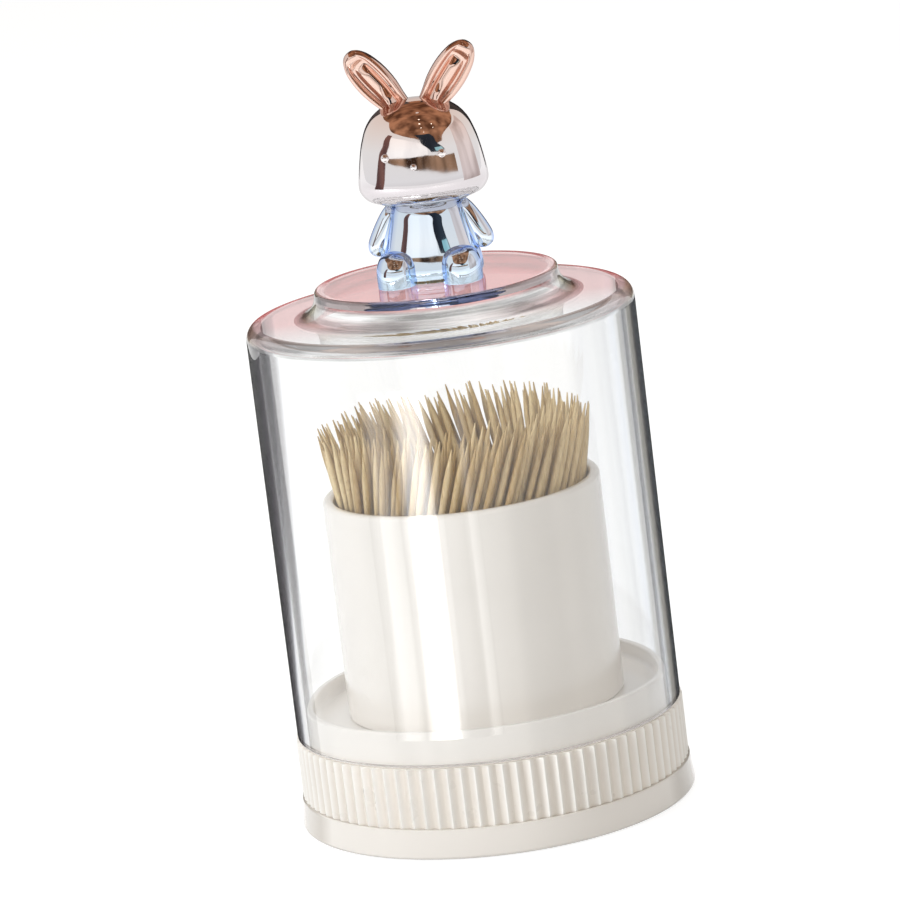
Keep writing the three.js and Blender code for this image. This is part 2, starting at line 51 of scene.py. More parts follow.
cameraSetup = {  # fitted to the edges of the foot, ring, cover and cup in the photo
    "lens": 210.36,
    "sensor": 36.0,
    "distance": 1195.06,
    "aimHeight": 60.0,
    "elevation": 13.441,
    "roll": -6.972,
    "yaw": -0.072,
    "pitch": 1.083,
    "clip": (0.05, 20),  # m
}


def makeCamera(setup):
    elevation, roll, yaw, pitch = (math.radians(setup[key]) for key in ("elevation", "roll", "yaw", "pitch"))
    right = Vector((1, 0, 0))
    forward = Vector((0, math.cos(elevation), -math.sin(elevation)))
    up = right.cross(forward)
    back = -forward * setup["distance"] * mm
    forward, right = (
        forward * math.cos(yaw) + right * math.sin(yaw),
        right * math.cos(yaw) - forward * math.sin(yaw),
    )
    forward, up = (
        forward * math.cos(pitch) + up * math.sin(pitch),
        up * math.cos(pitch) - forward * math.sin(pitch),
    )
    right, up = (
        right * math.cos(roll) + up * math.sin(roll),
        up * math.cos(roll) - right * math.sin(roll),
    )
    data = bpy.data.cameras.new("photoCamera")
    data.sensor_fit = "HORIZONTAL"
    data.sensor_width = setup["sensor"]
    data.lens = setup["lens"]
    data.clip_start, data.clip_end = setup["clip"]
    camera = bpy.data.objects.new("photoCamera", data)
    scene.collection.objects.link(camera)
    turn = Matrix((right, up, -forward)).transposed().to_4x4()
    camera.matrix_world = Matrix.Translation(back + Vector((0, 0, setup["aimHeight"] * mm))) @ turn
    scene.camera = camera


makeCamera(cameraSetup)
print("camera ready")


# Node helpers

def bareMaterial(name):
    material = bpy.data.materials.new(name)
    material.use_nodes = True
    material.node_tree.nodes.clear()
    return material, material.node_tree


def newMaterial(name):
    material, tree = bareMaterial(name)
    shader = addNode(tree, "BsdfPrincipled")
    addNode(tree, "OutputMaterial", shader.outputs[0])
    return material, tree, shader


def addNode(tree, kind, *sources, **values):
    # the sources feed its first inputs
    node = tree.nodes.new("ShaderNode" + kind)
    for key, value in values.items():
        if hasattr(node, key):
            setattr(node, key, value)
        else:
            node.inputs[key].default_value = value
    for source, socket in zip(sources, node.inputs):
        tree.links.new(source, socket)
    return node


def addNoise(tree, scale, detail=3.0, stretch=(1, 1, 1)):
    place = addNode(tree, "TexCoord").outputs["Object"]
    mapping = addNode(tree, "Mapping", place, Scale=stretch)
    return addNode(tree, "TexNoise", mapping.outputs[0], Scale=scale, Detail=detail).outputs["Fac"]


def addRange(tree, source, low, high, fromLow=0.3, fromHigh=0.7):
    limits = {"From Min": fromLow, "From Max": fromHigh, "To Min": low, "To Max": high}
    return addNode(tree, "MapRange", source, **limits).outputs["Result"]


def addRamp(tree, source, stops):
    ramp = addNode(tree, "ValToRGB", source)
    elements = ramp.color_ramp.elements
    while len(elements) < len(stops):
        elements.new(0.5)
    for element, (position, colour) in zip(elements, stops):
        element.position = position
        element.color = (*colour, 1)
    return ramp.outputs["Color"]


def addMath(tree, operation, first, second):
    node = addNode(tree, "Math", operation=operation)
    for socket, value in zip(node.inputs, (first, second)):
        if isinstance(value, (int, float)):
            socket.default_value = value
        else:
            tree.links.new(value, socket)
    return node.outputs[0]


def product(tree, first, *others):
    for other in others:
        first = addMath(tree, "MULTIPLY", first, other)
    return first


def addMix(tree, share, first, second, blend="MIX"):
    node = addNode(tree, "Mix", data_type="RGBA", blend_type=blend)
    for socket, value in zip((node.inputs[0], node.inputs[6], node.inputs[7]), (share, first, second)):
        if isinstance(value, (int, float)):
            socket.default_value = value
        elif isinstance(value, tuple):
            socket.default_value = (*value, 1)
        else:
            tree.links.new(value, socket)
    return node.outputs[2]


def shareOf(tree, source, span, rising=True):
    # rises from 0 to 1 over that span of the source, or falls from 1 to 0
    return addRange(tree, source, *((0, 1) if rising else (1, 0)), *span)


def dress(tree, shader, colour, roughness, relief, bump):
    # the bump is its strength and its depth in m
    strength, depth = bump
    raised = addNode(tree, "Bump", Strength=strength, Distance=depth)
    tree.links.new(relief, raised.inputs["Height"])
    tree.links.new(raised.outputs["Normal"], shader.inputs["Normal"])
    tree.links.new(colour, shader.inputs["Base Color"])
    tree.links.new(roughness, shader.inputs["Roughness"])


def slantOf(tree):
    # 0 where one looks straight at the surface, 1 where one looks along it
    return addNode(tree, "LayerWeight", Blend=0.5).outputs["Facing"]


def axisDistance(tree):
    flat = addNode(tree, "VectorMath", addNode(tree, "TexCoord").outputs["Object"], operation="MULTIPLY")
    flat.inputs[1].default_value = (1, 1, 0)
    return addNode(tree, "VectorMath", flat.outputs[0], operation="LENGTH").outputs["Value"]


# Stage and light

stageLook = {
    "floorSize": 12.0,  # m
    "floorLit": 0.40,  # what the lamps still light, so that the shadow stays
    "floorGlow": 0.80,
    "floorBounce": 0.70,
    "roomFill": 0.44,
    "roomWarmth": (1.0, 0.965, 0.92),
}

lamps = {  # place in m, size in m, watts, colour
    "keyLeft": ((-1.05, -0.62, 0.60), (0.40, 0.95), 9.7, (0.95, 0.975, 1.0)),
    "fillFront": ((0.38, -1.2, 0.55), (0.5, 0.4), 3.5, (1.0, 0.98, 0.95)),
    "topBack": ((-0.1, 0.45, 1.05), (0.8, 0.5), 3.2, (1.0, 1.0, 1.0)),
}
aimPoint = Vector((0, 0, 0.09))

# What shiny surfaces mirror of the room and nothing else sees. Corners by degrees to the right of
# the front and above level, as the figure sees them, and how far away they are in m.
figureHeight = 0.148
cardLook = {
    "step": 6.0,  # degrees between a card's corners
    "patches": (1.6, 2),  # scale and detail of its mottling
    "patchRange": (0.38, 0.64),
    "deepPass": 0.55,  # how much of it a look misses that has bounced in the cover's wall for long
    "deepRange": (1.5, 2.5),
}
roomCards = {
    "ceiling": {
        "low": (
            (-88, 48), (-60, 33), (-30, 26.5), (0, 23.5), (20, 20.5), (38, 22), (60, 30), (88, 38),
            (120, 44), (150, 38), (180, 34), (210, 38), (240, 44), (272, 48),
        ),
        "high": ((-88, 88), (272, 88)),
        "away": 1.9,
        "dim": (0.11, 0.05, 0.028),
        "bright": (0.46, 0.24, 0.14),
    },
    "beam": {
        "low": ((14, 13.6), (40, 12.6)),
        "high": ((-14, 29), (16, 29)),
        "away": 1.25,
        "dim": (0.010, 0.012, 0.018),
        "bright": (0.035, 0.045, 0.06),
    },
    "window": {
        "low": ((-66, 9.4), (-41, 11.1), (8, 12.8)),
        "high": ((-66, 24), (8, 23)),
        "away": 1.4,
        "dim": (0.95, 0.94, 0.94),
        "bright": (1.06, 1.05, 1.04),
    },
    "leftPost": {
        "low": ((-94, -9), (-74, -9)),
        "high": ((-67, 27), (-57, 27)),
        "away": 1.3,
        "dim": (0.03, 0.022, 0.03),
        "bright": (0.24, 0.12, 0.10),
    },
    "tableEdge": {
        "low": ((-77, 8.1), (-41, 8.4), (-7, 7.4), (5, 7.4), (30, 6.1), (56, 4.9)),
        "high": ((-77, 8.6), (-41, 11.0), (-7, 12.4), (5, 12.6), (30, 11.6), (56, 10.3)),
        "away": 1.35,
        "dim": (0.04, 0.020, 0.012),
        "bright": (0.36, 0.22, 0.14),
    },
    "rightWall": {
        "low": ((64, -6), (112, -6)),
        "high": ((66, 32), (112, 38)),
        "away": 1.5,
        "dim": (0.50, 0.42, 0.40),
        "bright": (0.80, 0.71, 0.69),
    },
    "backLeft": {
        "low": ((-176, -6), (-154, -6)),
        "high": ((-176, 45), (-146, 45)),
        "away": 1.3,
        "dim": (0.03, 0.03, 0.034),
        "bright": (0.10, 0.09, 0.09),
    },
    "backRight": {
        "low": ((150, -6), (176, -6)),
        "high": ((132, 45), (176, 45)),
        "away": 1.3,
        "dim": (0.012, 0.012, 0.014),
        "bright": (0.06, 0.055, 0.055),
    },
    "tealSign": {
        "low": ((23, 12.8), (38, 12.4)),
        "high": ((21, 16.5), (34, 16.5)),
        "away": 1.1,
        "dim": (0.12, 0.38, 0.44),
        "bright": (0.40, 0.62, 0.66),
    },
}

# Small lights on the ceiling: degrees to the right, degrees above level, half size in m
ceilingLights = {
    "places": (
        (2, 66, 0.022), (1, 54, 0.026), (3, 45, 0.020), (7, 33, 0.018), (32, 50, 0.020), (30, 41, 0.018),
    ),
    "away": 1.2,
    "colour": (1.0, 0.93, 0.82),
    "strength": 2.5,
}

# Low panels that the cover's upright wall mirrors as upright streaks: the brightness along
# each, by the wall's degrees to the right of the front, and how far out it lies in m.
panelTop = (0.118, 0.126)  # a floor panel is only mirrored by what lies below this height in m
lowPanels = {
    "glarePanel": {
        "height": 0.004,
        "light": 17.0,
        "reach": (0.085, 0.50),
        "through": 0.0,  # how much of it a look misses that comes out of the cover's wall
        "profile": (
            (-29, 0), (-25, 0.3), (-21.5, 0.22), (-19, 0.05), (-16.5, 0.55), (-13.5, 1.0), (-10, 0.9),
            (-8, 0.2), (-6, 0.04), (-0.5, 0), (1.2, 0.2), (2.4, 0.16), (4, 0),
        ),
    },
    "shadeLeft": {
        "height": 0.003,
        "light": 0.03,
        "reach": (0.06, 0.62),
        "through": 0.7,
        "profile": ((-89, 1), (-62, 1)),
    },
    "shadeRight": {
        "height": 0.003,
        "light": 0.03,
        "reach": (0.06, 0.62),
        "through": 0.7,
        "profile": ((66, 1), (89, 1)),
    },
}

squareCorners = ((-1, -1), (1, -1), (1, 1), (-1, 1))


def stageMesh(name, verts, faces, material):
    mesh = bpy.data.meshes.new(name)
    mesh.from_pydata(verts, [], faces)
    mesh.materials.append(material)
    piece = bpy.data.objects.new(name, mesh)
    scene.collection.objects.link(piece)
    return piece


def seenAsBackground(tree):
    path = addNode(tree, "LightPath").outputs
    either = addMath(tree, "MAXIMUM", path["Is Camera Ray"], path["Is Glossy Ray"])
    return addMath(tree, "MAXIMUM", either, path["Is Transmission Ray"])


def makeFloor(look):
    material, tree = bareMaterial("paleFloor")
    bounce = addNode(tree, "BsdfDiffuse", Color=(*[look["floorBounce"]] * 3, 1))
    lit = addNode(tree, "BsdfDiffuse", Color=(*[look["floorLit"]] * 3, 1))
    glow = addNode(tree, "Emission", Strength=look["floorGlow"])
    bright = addNode(tree, "AddShader", lit.outputs[0], glow.outputs[0])
    choose = addNode(tree, "MixShader", seenAsBackground(tree), bounce.outputs[0], bright.outputs[0])
    addNode(tree, "OutputMaterial", choose.outputs[0])
    half = look["floorSize"] / 2
    stageMesh("floor", [(x * half, y * half, 0) for x, y in squareCorners], [(0, 1, 2, 3)], material)


def makeWorld(look):
    world = bpy.data.worlds.new("paleRoom")
    scene.world = world
    world.use_nodes = True
    tree = world.node_tree
    tree.nodes.clear()
    fill = addNode(tree, "Background", Color=(*look["roomWarmth"], 1), Strength=look["roomFill"])
    white = addNode(tree, "Background", Strength=1.0)
    choose = addNode(tree, "MixShader", seenAsBackground(tree), fill.outputs[0], white.outputs[0])
    addNode(tree, "OutputWorld", choose.outputs[0])


def makeLamps():
    for name, (place, size, power, colour) in lamps.items():
        data = bpy.data.lights.new(name, "AREA")
        data.shape = "RECTANGLE"
        data.size, data.size_y = size
        data.energy = power
        data.color = colour
        lamp = bpy.data.objects.new(name, data)
        scene.collection.objects.link(lamp)
        lamp.location = place
        lamp.rotation_euler = (Vector(place) - aimPoint).to_track_quat("Z", "Y").to_euler()
        lamp.visible_camera = False
        lamp.visible_glossy = False
        lamp.visible_transmission = False


def mirroredOnly(name, verts, faces, material):
    card = stageMesh(name, verts, faces, material)
    card.visible_camera = False
    card.visible_diffuse = False
    card.visible_transmission = False
    card.visible_shadow = False
    return card.data


def showGlow(tree, glow, missed):
    # missed is the share of a look that passes straight through
    passing = addNode(tree, "BsdfTransparent")
    choose = addNode(tree, "MixShader", missed, glow.outputs[0], passing.outputs[0])
    addNode(tree, "OutputMaterial", choose.outputs[0])


def lookTo(azimuth, elevation, away):
    azimuth, elevation = math.radians(azimuth), math.radians(elevation)
    level = away * math.cos(elevation)
    rise = away * math.sin(elevation)
    return Vector((level * math.sin(azimuth), -level * math.cos(azimuth), figureHeight + rise))


def alongEdge(edge, share):
    # the direction that far along a card's edge, by azimuth
    azimuth = edge[0][0] + (edge[-1][0] - edge[0][0]) * share
    for (fromAzimuth, fromLevel), (toAzimuth, toLevel) in zip(edge, edge[1:]):
        if azimuth <= toAzimuth or toAzimuth == edge[-1][0]:
            part = (azimuth - fromAzimuth) / (toAzimuth - fromAzimuth)
            return azimuth, fromLevel + (toLevel - fromLevel) * part


def makeRoomCards(look):
    fromPatch, toPatch = look["patchRange"]
    for name, setup in roomCards.items():
        material, tree = bareMaterial(name)
        patches = addNoise(tree, *look["patches"])
        colour = addRamp(tree, patches, [(fromPatch, setup["dim"]), (toPatch, setup["bright"])])
        depth = addNode(tree, "LightPath").outputs["Glossy Depth"]
        missed = addRange(tree, depth, 0, look["deepPass"], *look["deepRange"])
        showGlow(tree, addNode(tree, "Emission", colour), missed)
        edges = [setup["low"], setup["high"]]
        span = max(abs(edge[-1][0] - edge[0][0]) for edge in edges)
        steps = max(2, math.ceil(span / look["step"]))
        corners = []
        for i in range(steps + 1):
            corners += [lookTo(*alongEdge(edge, i / steps), setup["away"]) for edge in edges]
        faces = [(i, i + 1, i + 3, i + 2) for i in range(0, 2 * steps, 2)]
        mirroredOnly(name, corners, faces, material)


def makeCeilingLights(setup):
    material, tree = bareMaterial("ceilingLight")
    glow = addNode(tree, "Emission", Color=(*setup["colour"], 1), Strength=setup["strength"])
    addNode(tree, "OutputMaterial", glow.outputs[0])
    for number, (azimuth, elevation, half) in enumerate(setup["places"], 1):
        centre = lookTo(azimuth, elevation, setup["away"])
        corners = [centre + Vector((x * half, y * half, 0)) for x, y in squareCorners]
        mirroredOnly(f"ceilingLight{number}", corners, [(0, 1, 2, 3)], material)


def makeLowPanels():
    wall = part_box("cover_shell")[1].x
    for name, setup in lowPanels.items():
        material, tree = bareMaterial(name)
        brightness = addNode(tree, "Attribute", attribute_name="share").outputs["Fac"]
        glow = addNode(tree, "Emission")
        tree.links.new(product(tree, brightness, setup["light"]), glow.inputs["Strength"])
        path = addNode(tree, "LightPath").outputs
        height = product(tree, path["Ray Length"], addMath(tree, "SUBTRACT", 1, slantOf(tree)))
        above = shareOf(tree, height, panelTop)
        through = addRange(tree, path["Transmission Depth"], 0, setup["through"], 0, 1)
        showGlow(tree, glow, addMath(tree, "MAXIMUM", above, through))
        verts, shares = [], []
        for turn, level in setup["profile"]:
            angle = math.radians(turn)
            for reach in setup["reach"]:
                x = wall * math.sin(angle) + reach * math.sin(2 * angle)
                y = -wall * math.cos(angle) - reach * math.cos(2 * angle)
                verts.append((x, y, setup["height"]))
                shares.append(level)
        faces = [(i, i + 1, i + 3, i + 2) for i in range(0, len(verts) - 2, 2)]
        mesh = mirroredOnly(name, verts, faces, material)
        mesh.attributes.new("share", "FLOAT", "POINT").data.foreach_set("value", shares)


makeFloor(stageLook)
makeWorld(stageLook)
makeLamps()
makeRoomCards(cardLook)
makeCeilingLights(ceilingLights)
makeLowPanels()
print("stage and light ready")


# Mesh helpers: every form is a stack of rows of points, skinned to a closed mesh

def arc(centreRadius, centreZ, radius, fromQuarter, toQuarter, steps=6):
    points = []
    for i in range(steps + 1):
        angle = (fromQuarter + (toQuarter - fromQuarter) * i / steps) * math.pi / 2
        points.append((centreRadius + radius * math.cos(angle), centreZ + radius * math.sin(angle)))
    return points


def smoothLine(points, steps, before=None, after=None):
    # a curve through the points; before and after steer its two ends
    points = [Vector(p) for p in points]
    first = Vector(before) if before else 2 * points[0] - points[1]
    last = Vector(after) if after else 2 * points[-1] - points[-2]
    path = [first, *points, last]
    line = []
    for a, b, c, d in zip(path, path[1:], path[2:], path[3:]):
        for i in range(steps):
            t = i / steps
            bend, twist = 2 * a - 5 * b + 4 * c - d, 3 * b - a - 3 * c + d
            line.append(((2 * b) + (c - a) * t + bend * t**2 + twist * t**3) / 2)
    return [*line, points[-1]]


def ringRow(halfX, halfY, z, segments):
    if halfX < 1e-6:
        return [(0, 0, z)]
    turns = [2 * math.pi * i / segments for i in range(segments)]
    return [(halfX * math.cos(t), halfY * math.sin(t), z) for t in turns]


def turnedRows(outline, segments):
    return [ringRow(radius, radius, z, segments) for radius, z in outline]


def skin(rows, looped=True):
    verts, index, faces = [], [], []
    for row in rows:
        index.append(list(range(len(verts), len(verts) + len(row))))
        verts.extend(row)
    for low, high in zip(index, index[1:] + (index[:1] if looped else [])):
        count = max(len(low), len(high))
        for i in range(count if count > 1 else 0):
            j = (i + 1) % count
            corners = (low[i % len(low)], low[j % len(low)], high[j % len(high)], high[i % len(high)])
            faces.append(list(dict.fromkeys(corners)))
    return verts, faces


def meshOf(form, place=None):
    verts, faces = form
    mesh = bpy.data.meshes.new("form")
    mesh.from_pydata(verts, [], faces)
    if place:
        mesh.transform(place)
    mesh.transform(Matrix.Scale(mm, 4))
    return mesh


def turned(outline, segments, place=None):
    return meshOf(skin(turnedRows(outline, segments)), place)


def closed(rows, place=None):
    return meshOf(skin(rows, looped=False), place)


def post(radius, fromZ, toZ, place=None):
    return turned([(0, fromZ), (radius, fromZ), (radius, toZ), (0, toZ)], 48, place)


def combine(mesh, others, operation):
    # adds or cuts other closed meshes, which are used up
    working = bpy.data.objects.new("working", mesh)
    scene.collection.objects.link(working)
    helpers = []
    for other in others:
        helper = bpy.data.objects.new("helper", other)
        scene.collection.objects.link(helper)
        step = working.modifiers.new("step", "BOOLEAN")
        step.operation = operation
        step.object = helper
        step.solver = "EXACT"
        helpers.append(helper)
    bpy.context.view_layer.update()
    graph = bpy.context.evaluated_depsgraph_get()
    result = bpy.data.meshes.new_from_object(working.evaluated_get(graph))
    for helper in [working, *helpers]:
        used = helper.data
        bpy.data.objects.remove(helper)
        bpy.data.meshes.remove(used)
    return result


def makePiece(name, mesh, material, body, nodes, sharpAngle=35, weighted=True):
    mesh.name = name
    mesh.materials.clear()
    mesh.materials.append(material)
    mesh.polygons.foreach_set("use_smooth", [True] * len(mesh.polygons))
    mesh.set_sharp_from_angle(angle=math.radians(sharpAngle))
    piece = bpy.data.objects.new(name, mesh)
    scene.collection.objects.link(piece)
    if weighted:
        piece.modifiers.new("faceWeights", "WEIGHTED_NORMAL").keep_sharp = True
    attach(piece, body)
    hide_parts(*nodes)
    return piece


def lowOf(node):
    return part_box(node)[0] / mm


def highOf(node):
    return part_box(node)[1] / mm


overrun = 1.0  # how far a cut reaches past what it cuts


# Moulded plastic: each finish has a faint cloudiness, its own gloss and a fine skin. In all looks
# a noise is given as its scale, its detail and how it is stretched, a bump as its strength and depth in m.

mouldedLook = {
    "clouds": (45, 4),
    "cloudRange": (0.35, 0.65),
    "gloss": (160, 3),
    "coatRoughness": 0.08,
}
finishes = {
    "satinCream": {
        "colour": (0.87, 0.835, 0.785),
        "cloud": 0.035,
        "roughness": (0.26, 0.38),
        "skin": (2600, 2),
        "bump": (0.10, 0.00002),
        "coat": 0.0,
    },
    "glossCream": {
        "colour": (0.84, 0.80, 0.75),
        "cloud": 0.03,
        "roughness": (0.10, 0.16),
        "skin": (700, 2),
        "bump": (0.04, 0.00002),
        "coat": 0.6,
        "edge": (0.50, 0.60, (0.70, 0.68, 0.65)),  # painted shade towards the foot's outlines: its colour from this slant to that
    },
    "dishWhite": {
        "colour": (0.87, 0.84, 0.80),
        "cloud": 0.02,
        "roughness": (0.16, 0.24),
        "skin": (900, 2),
        "bump": (0.05, 0.00002),
        "coat": 0.2,
    },
    "cupIvory": {
        "colour": (0.87, 0.835, 0.79),
        "cloud": 0.025,
        "roughness": (0.17, 0.26),
        "skin": (500, 2),
        "bump": (0.06, 0.00003),
        "coat": 0.3,
    },
    "greyRubber": {
        "colour": (0.64, 0.62, 0.58),
        "cloud": 0.06,
        "roughness": (0.78, 0.9),
        "skin": (4200, 2),
        "bump": (0.35, 0.00006),
        "coat": 0.0,
    },
}


def plasticMaterial(name, raised=None):
    look = finishes[name]
    material, tree, shader = newMaterial(name)
    darker = [channel * (1 - look["cloud"]) for channel in look["colour"]]
    stops = list(zip(mouldedLook["cloudRange"], (darker, look["colour"])))
    colour = addRamp(tree, addNoise(tree, *mouldedLook["clouds"]), stops)
    # painted shade: the colour darkens where one looks along the surface, towards the outlines
    if "edge" in look:
        *span, shade = look["edge"]
        edge = addMix(tree, shareOf(tree, slantOf(tree), span), (1.0, 1.0, 1.0), shade)
        colour = addMix(tree, 1.0, colour, edge, "MULTIPLY")
    if raised:  # painted shade in the flutes' hollows and painted highlight on their crests: lowest and highest distance from the axis, and the tones between
        valley, crest, tones = raised
        height = shareOf(tree, axisDistance(tree), (valley * mm, crest * mm))
        colour = addMix(tree, 1.0, colour, addRamp(tree, height, tones), "MULTIPLY")
    gloss = addRange(tree, addNoise(tree, *mouldedLook["gloss"]), *look["roughness"])
    dress(tree, shader, colour, gloss, addNoise(tree, *look["skin"]), look["bump"])
    shader.inputs["Coat Weight"].default_value = look["coat"]
    shader.inputs["Coat Roughness"].default_value = mouldedLook["coatRoughness"]
    return material


steelLook = {
    "brushed": (900, 2, (1, 1, 0.05)),
    "tones": [(0.3, (0.42, 0.43, 0.45)), (0.7, (0.62, 0.63, 0.65))],
    "roughness": (0.25, 0.42),
    "bump": (0.2, 0.00002),
}


def steelMaterial(look):
    material, tree, shader = newMaterial("screwSteel")
    brushed = addNoise(tree, *look["brushed"])
    gloss = addRange(tree, brushed, *look["roughness"])
    dress(tree, shader, addRamp(tree, brushed, look["tones"]), gloss, brushed, look["bump"])
    shader.inputs["Metallic"].default_value = 1.0
    return material


# Base: foot, pad, fluted ring, dished tray and three screws

baseShape = {
    "segments": 160,
    "footWall": 3.0,
    "footFloor": 2.2,
    "footEdge": 0.8,
    "footLip": 0.35,
    "footLedge": 0.25,  # how far its upper edge stands out past the flutes
    "padInset": 4.2,
    "padWidth": 7.4,
    "padEdge": 0.35,
    "seatGap": 0.3,
    "flutes": 90,
    "fluteDepth": 0.95,
    "fluteShares": (0.0, 0.025, 0.16, 0.33, 0.5, 0.67, 0.84, 0.975),
    "fluteCrest": 0.06,  # of the flute's depth, taken off its sharp edge
    # painted shade in the flutes' hollows and painted highlight on their crests, by distance from the axis
    "fluteShadeAndHighlight": [(0.0, (0.90, 0.87, 0.83)), (0.55, (1, 1, 1)), (1.0, (1.10, 1.13, 1.16))],
    "ringEdge": 0.3,
    "flangeWidth": 2.4,
    "flangeHeight": 2.0,
    "collarWall": 1.6,
    "collarEdge": 0.5,
    "dishDepth": 3.8,
    "dishFillet": 1.2,
    "trayFloor": 2.4,
    "spigotRadius": 27.0,
    "spigotHeight": 1.0,
    "spigotEdge": 0.25,
    "screwCircle": 22.0,
    "screwHead": 2.9,
    "screwHeadHeight": 1.8,
    "screwHeadEdge": 0.6,
    "screwHeadFlat": 0.72,  # of the head's radius
    "screwShank": 1.4,
    "screwClearance": 0.2,
    "screwLength": 11.0,
    "screwPoint": 1.5,
    "screwTip": (0.6, 0.6),  # share of the core, and its length
    "screwRound": -0.6,  # quarter turns over which the head's edge is rounded
    "screwSeat": 2.3,
    "slotWidth": 0.9,
    "slotReach": 0.6,  # of the head's radius
    "slotDepth": 1.0,
    "slotTaper": 0.75,
    "threadStart": 0.4,
    "threadDepth": 0.35,
    "threadPitch": 1.0,
    "threadCrest": 0.06,
    "bossWall": 1.8,
    "bossMeet": 4.5,
}


def screwPlaces(shape):
    for i in range(3):
        angle = 2 * math.pi * i / 3 + math.pi / 2
        yield Matrix.Translation(
            (shape["screwCircle"] * math.cos(angle), shape["screwCircle"] * math.sin(angle), 0)
        )


def addBosses(mesh, shape, boss, holes):
    # at every screw; each is given by its radius and its lower and upper end
    places = list(screwPlaces(shape))
    bosses = [post(*boss, place) for place in places]
    cuts = [post(*hole, place) for place in places for hole in holes]
    return combine(combine(mesh, bosses, "UNION"), cuts, "DIFFERENCE")


def makeFoot(shape):
    low, high = lowOf("base_foot"), highOf("base_foot")
    padTop = highOf("foot_pad").z
    outer = high.x
    top = highOf("fluted_ring").x + shape["footLedge"]
    bore = top - shape["footWall"]
    padOuter = outer - shape["padInset"] + shape["seatGap"]
    padInner = padOuter - shape["padWidth"] - 2 * shape["seatGap"]
    edge, lip = shape["footEdge"], shape["footLip"]
    outline = [
        (0, low.z),
        (padInner, low.z),
        (padInner, padTop),
        (padOuter, padTop),
        (padOuter, low.z),
        *arc(outer - edge, low.z + edge, edge, -1, 0),
        *arc(top - lip, high.z - lip, lip, 0, 1),
        (bore, high.z),
        (bore, low.z + shape["footFloor"]),
        (0, low.z + shape["footFloor"]),
    ]
    counterbore = shape["screwHead"] + shape["seatGap"]
    boss = (counterbore + shape["bossWall"], low.z, shape["bossMeet"])
    holes = (
        (counterbore, low.z - overrun, shape["screwSeat"]),
        (shape["screwShank"] + shape["screwClearance"], low.z, shape["bossMeet"] + overrun),
    )
    foot = addBosses(turned(outline, shape["segments"]), shape, boss, holes)
    makePiece("footShell", foot, plasticMaterial("glossCream"), "base", ["base_foot"])


def makePad(shape):
    low, high = lowOf("foot_pad"), highOf("foot_pad")
    outer, inner, edge = high.x, high.x - shape["padWidth"], shape["padEdge"]
    outline = [
        *arc(outer - edge, low.z + edge, edge, -1, 0, 4),
        *arc(outer - edge, high.z - edge, edge, 0, 1, 4),
        *arc(inner + edge, high.z - edge, edge, 1, 2, 4),
        *arc(inner + edge, low.z + edge, edge, 2, 3, 4),
    ]
    pad = turned(outline, shape["segments"])
    makePiece("rubberPad", pad, plasticMaterial("greyRubber"), "base", ["foot_pad"])


def makeRing(shape):
    low, high = lowOf("fluted_ring"), highOf("fluted_ring")
    bore = highOf("tray").x + shape["seatGap"]
    columns = shape["flutes"] * len(shape["fluteShares"])

    def flutedRow(z, inset):
        row = []
        for i in range(shape["flutes"]):
            for share in shape["fluteShares"]:
                depth = max(0, 4 * share * (1 - share) - shape["fluteCrest"]) * shape["fluteDepth"]
                radius = high.x - max(depth, inset)
                angle = 2 * math.pi * (i + share) / shape["flutes"]
                row.append((radius * math.cos(angle), radius * math.sin(angle), z))
        return row

    edge = shape["ringEdge"]
    flange = bore - shape["flangeWidth"]
    rows = [
        ringRow(flange, flange, low.z, columns),
        flutedRow(low.z, edge),
        flutedRow(low.z + edge, 0),
        flutedRow(high.z - edge, 0),
        flutedRow(high.z, edge),
        ringRow(bore, bore, high.z, columns),
        ringRow(bore, bore, low.z + shape["flangeHeight"], columns),
        ringRow(flange, flange, low.z + shape["flangeHeight"], columns),
    ]
    # the flutes get painted shade in their hollows and painted highlight on their crests
    raised = (high.x - shape["fluteDepth"], high.x, shape["fluteShadeAndHighlight"])
    cream = plasticMaterial("satinCream", raised)
    makePiece("fluteRing", meshOf(skin(rows)), cream, "base", ["fluted_ring"], 22)


def makeTray(shape):
    low, high = lowOf("tray"), highOf("tray")
    outer, wall, edge = high.x, shape["collarWall"], shape["collarEdge"]
    dish, fillet = outer - wall, shape["dishFillet"]
    floor = high.z - shape["dishDepth"]
    underside = floor - shape["trayFloor"]
    skirtBottom = lowOf("fluted_ring").z + shape["flangeHeight"]
    spigot, spigotEdge = shape["spigotRadius"], shape["spigotEdge"]
    spigotTop = floor + shape["spigotHeight"]
    outline = [
        (0, underside),
        (outer - wall, underside),
        (outer - wall, skirtBottom),
        (outer, skirtBottom),
        *arc(outer - edge, high.z - edge, edge, 0, 1),
        *arc(dish + edge, high.z - edge, edge, 1, 2),
        *arc(dish - fillet, floor + fillet, fillet, 0, -1),
        (spigot, floor),
        *arc(spigot - spigotEdge, spigotTop - spigotEdge, spigotEdge, 0, 1, 4),
        (0, spigotTop),
    ]
    pilot = shape["screwShank"] + shape["screwClearance"]
    top = shape["screwSeat"] + shape["screwLength"] + shape["seatGap"]
    boss = (pilot + shape["bossWall"], shape["bossMeet"], underside + overrun)
    holes = [(pilot, shape["bossMeet"] - overrun, top)]
    tray = addBosses(turned(outline, shape["segments"]), shape, boss, holes)
    makePiece("dishTray", tray, plasticMaterial("dishWhite"), "base", ["tray"])


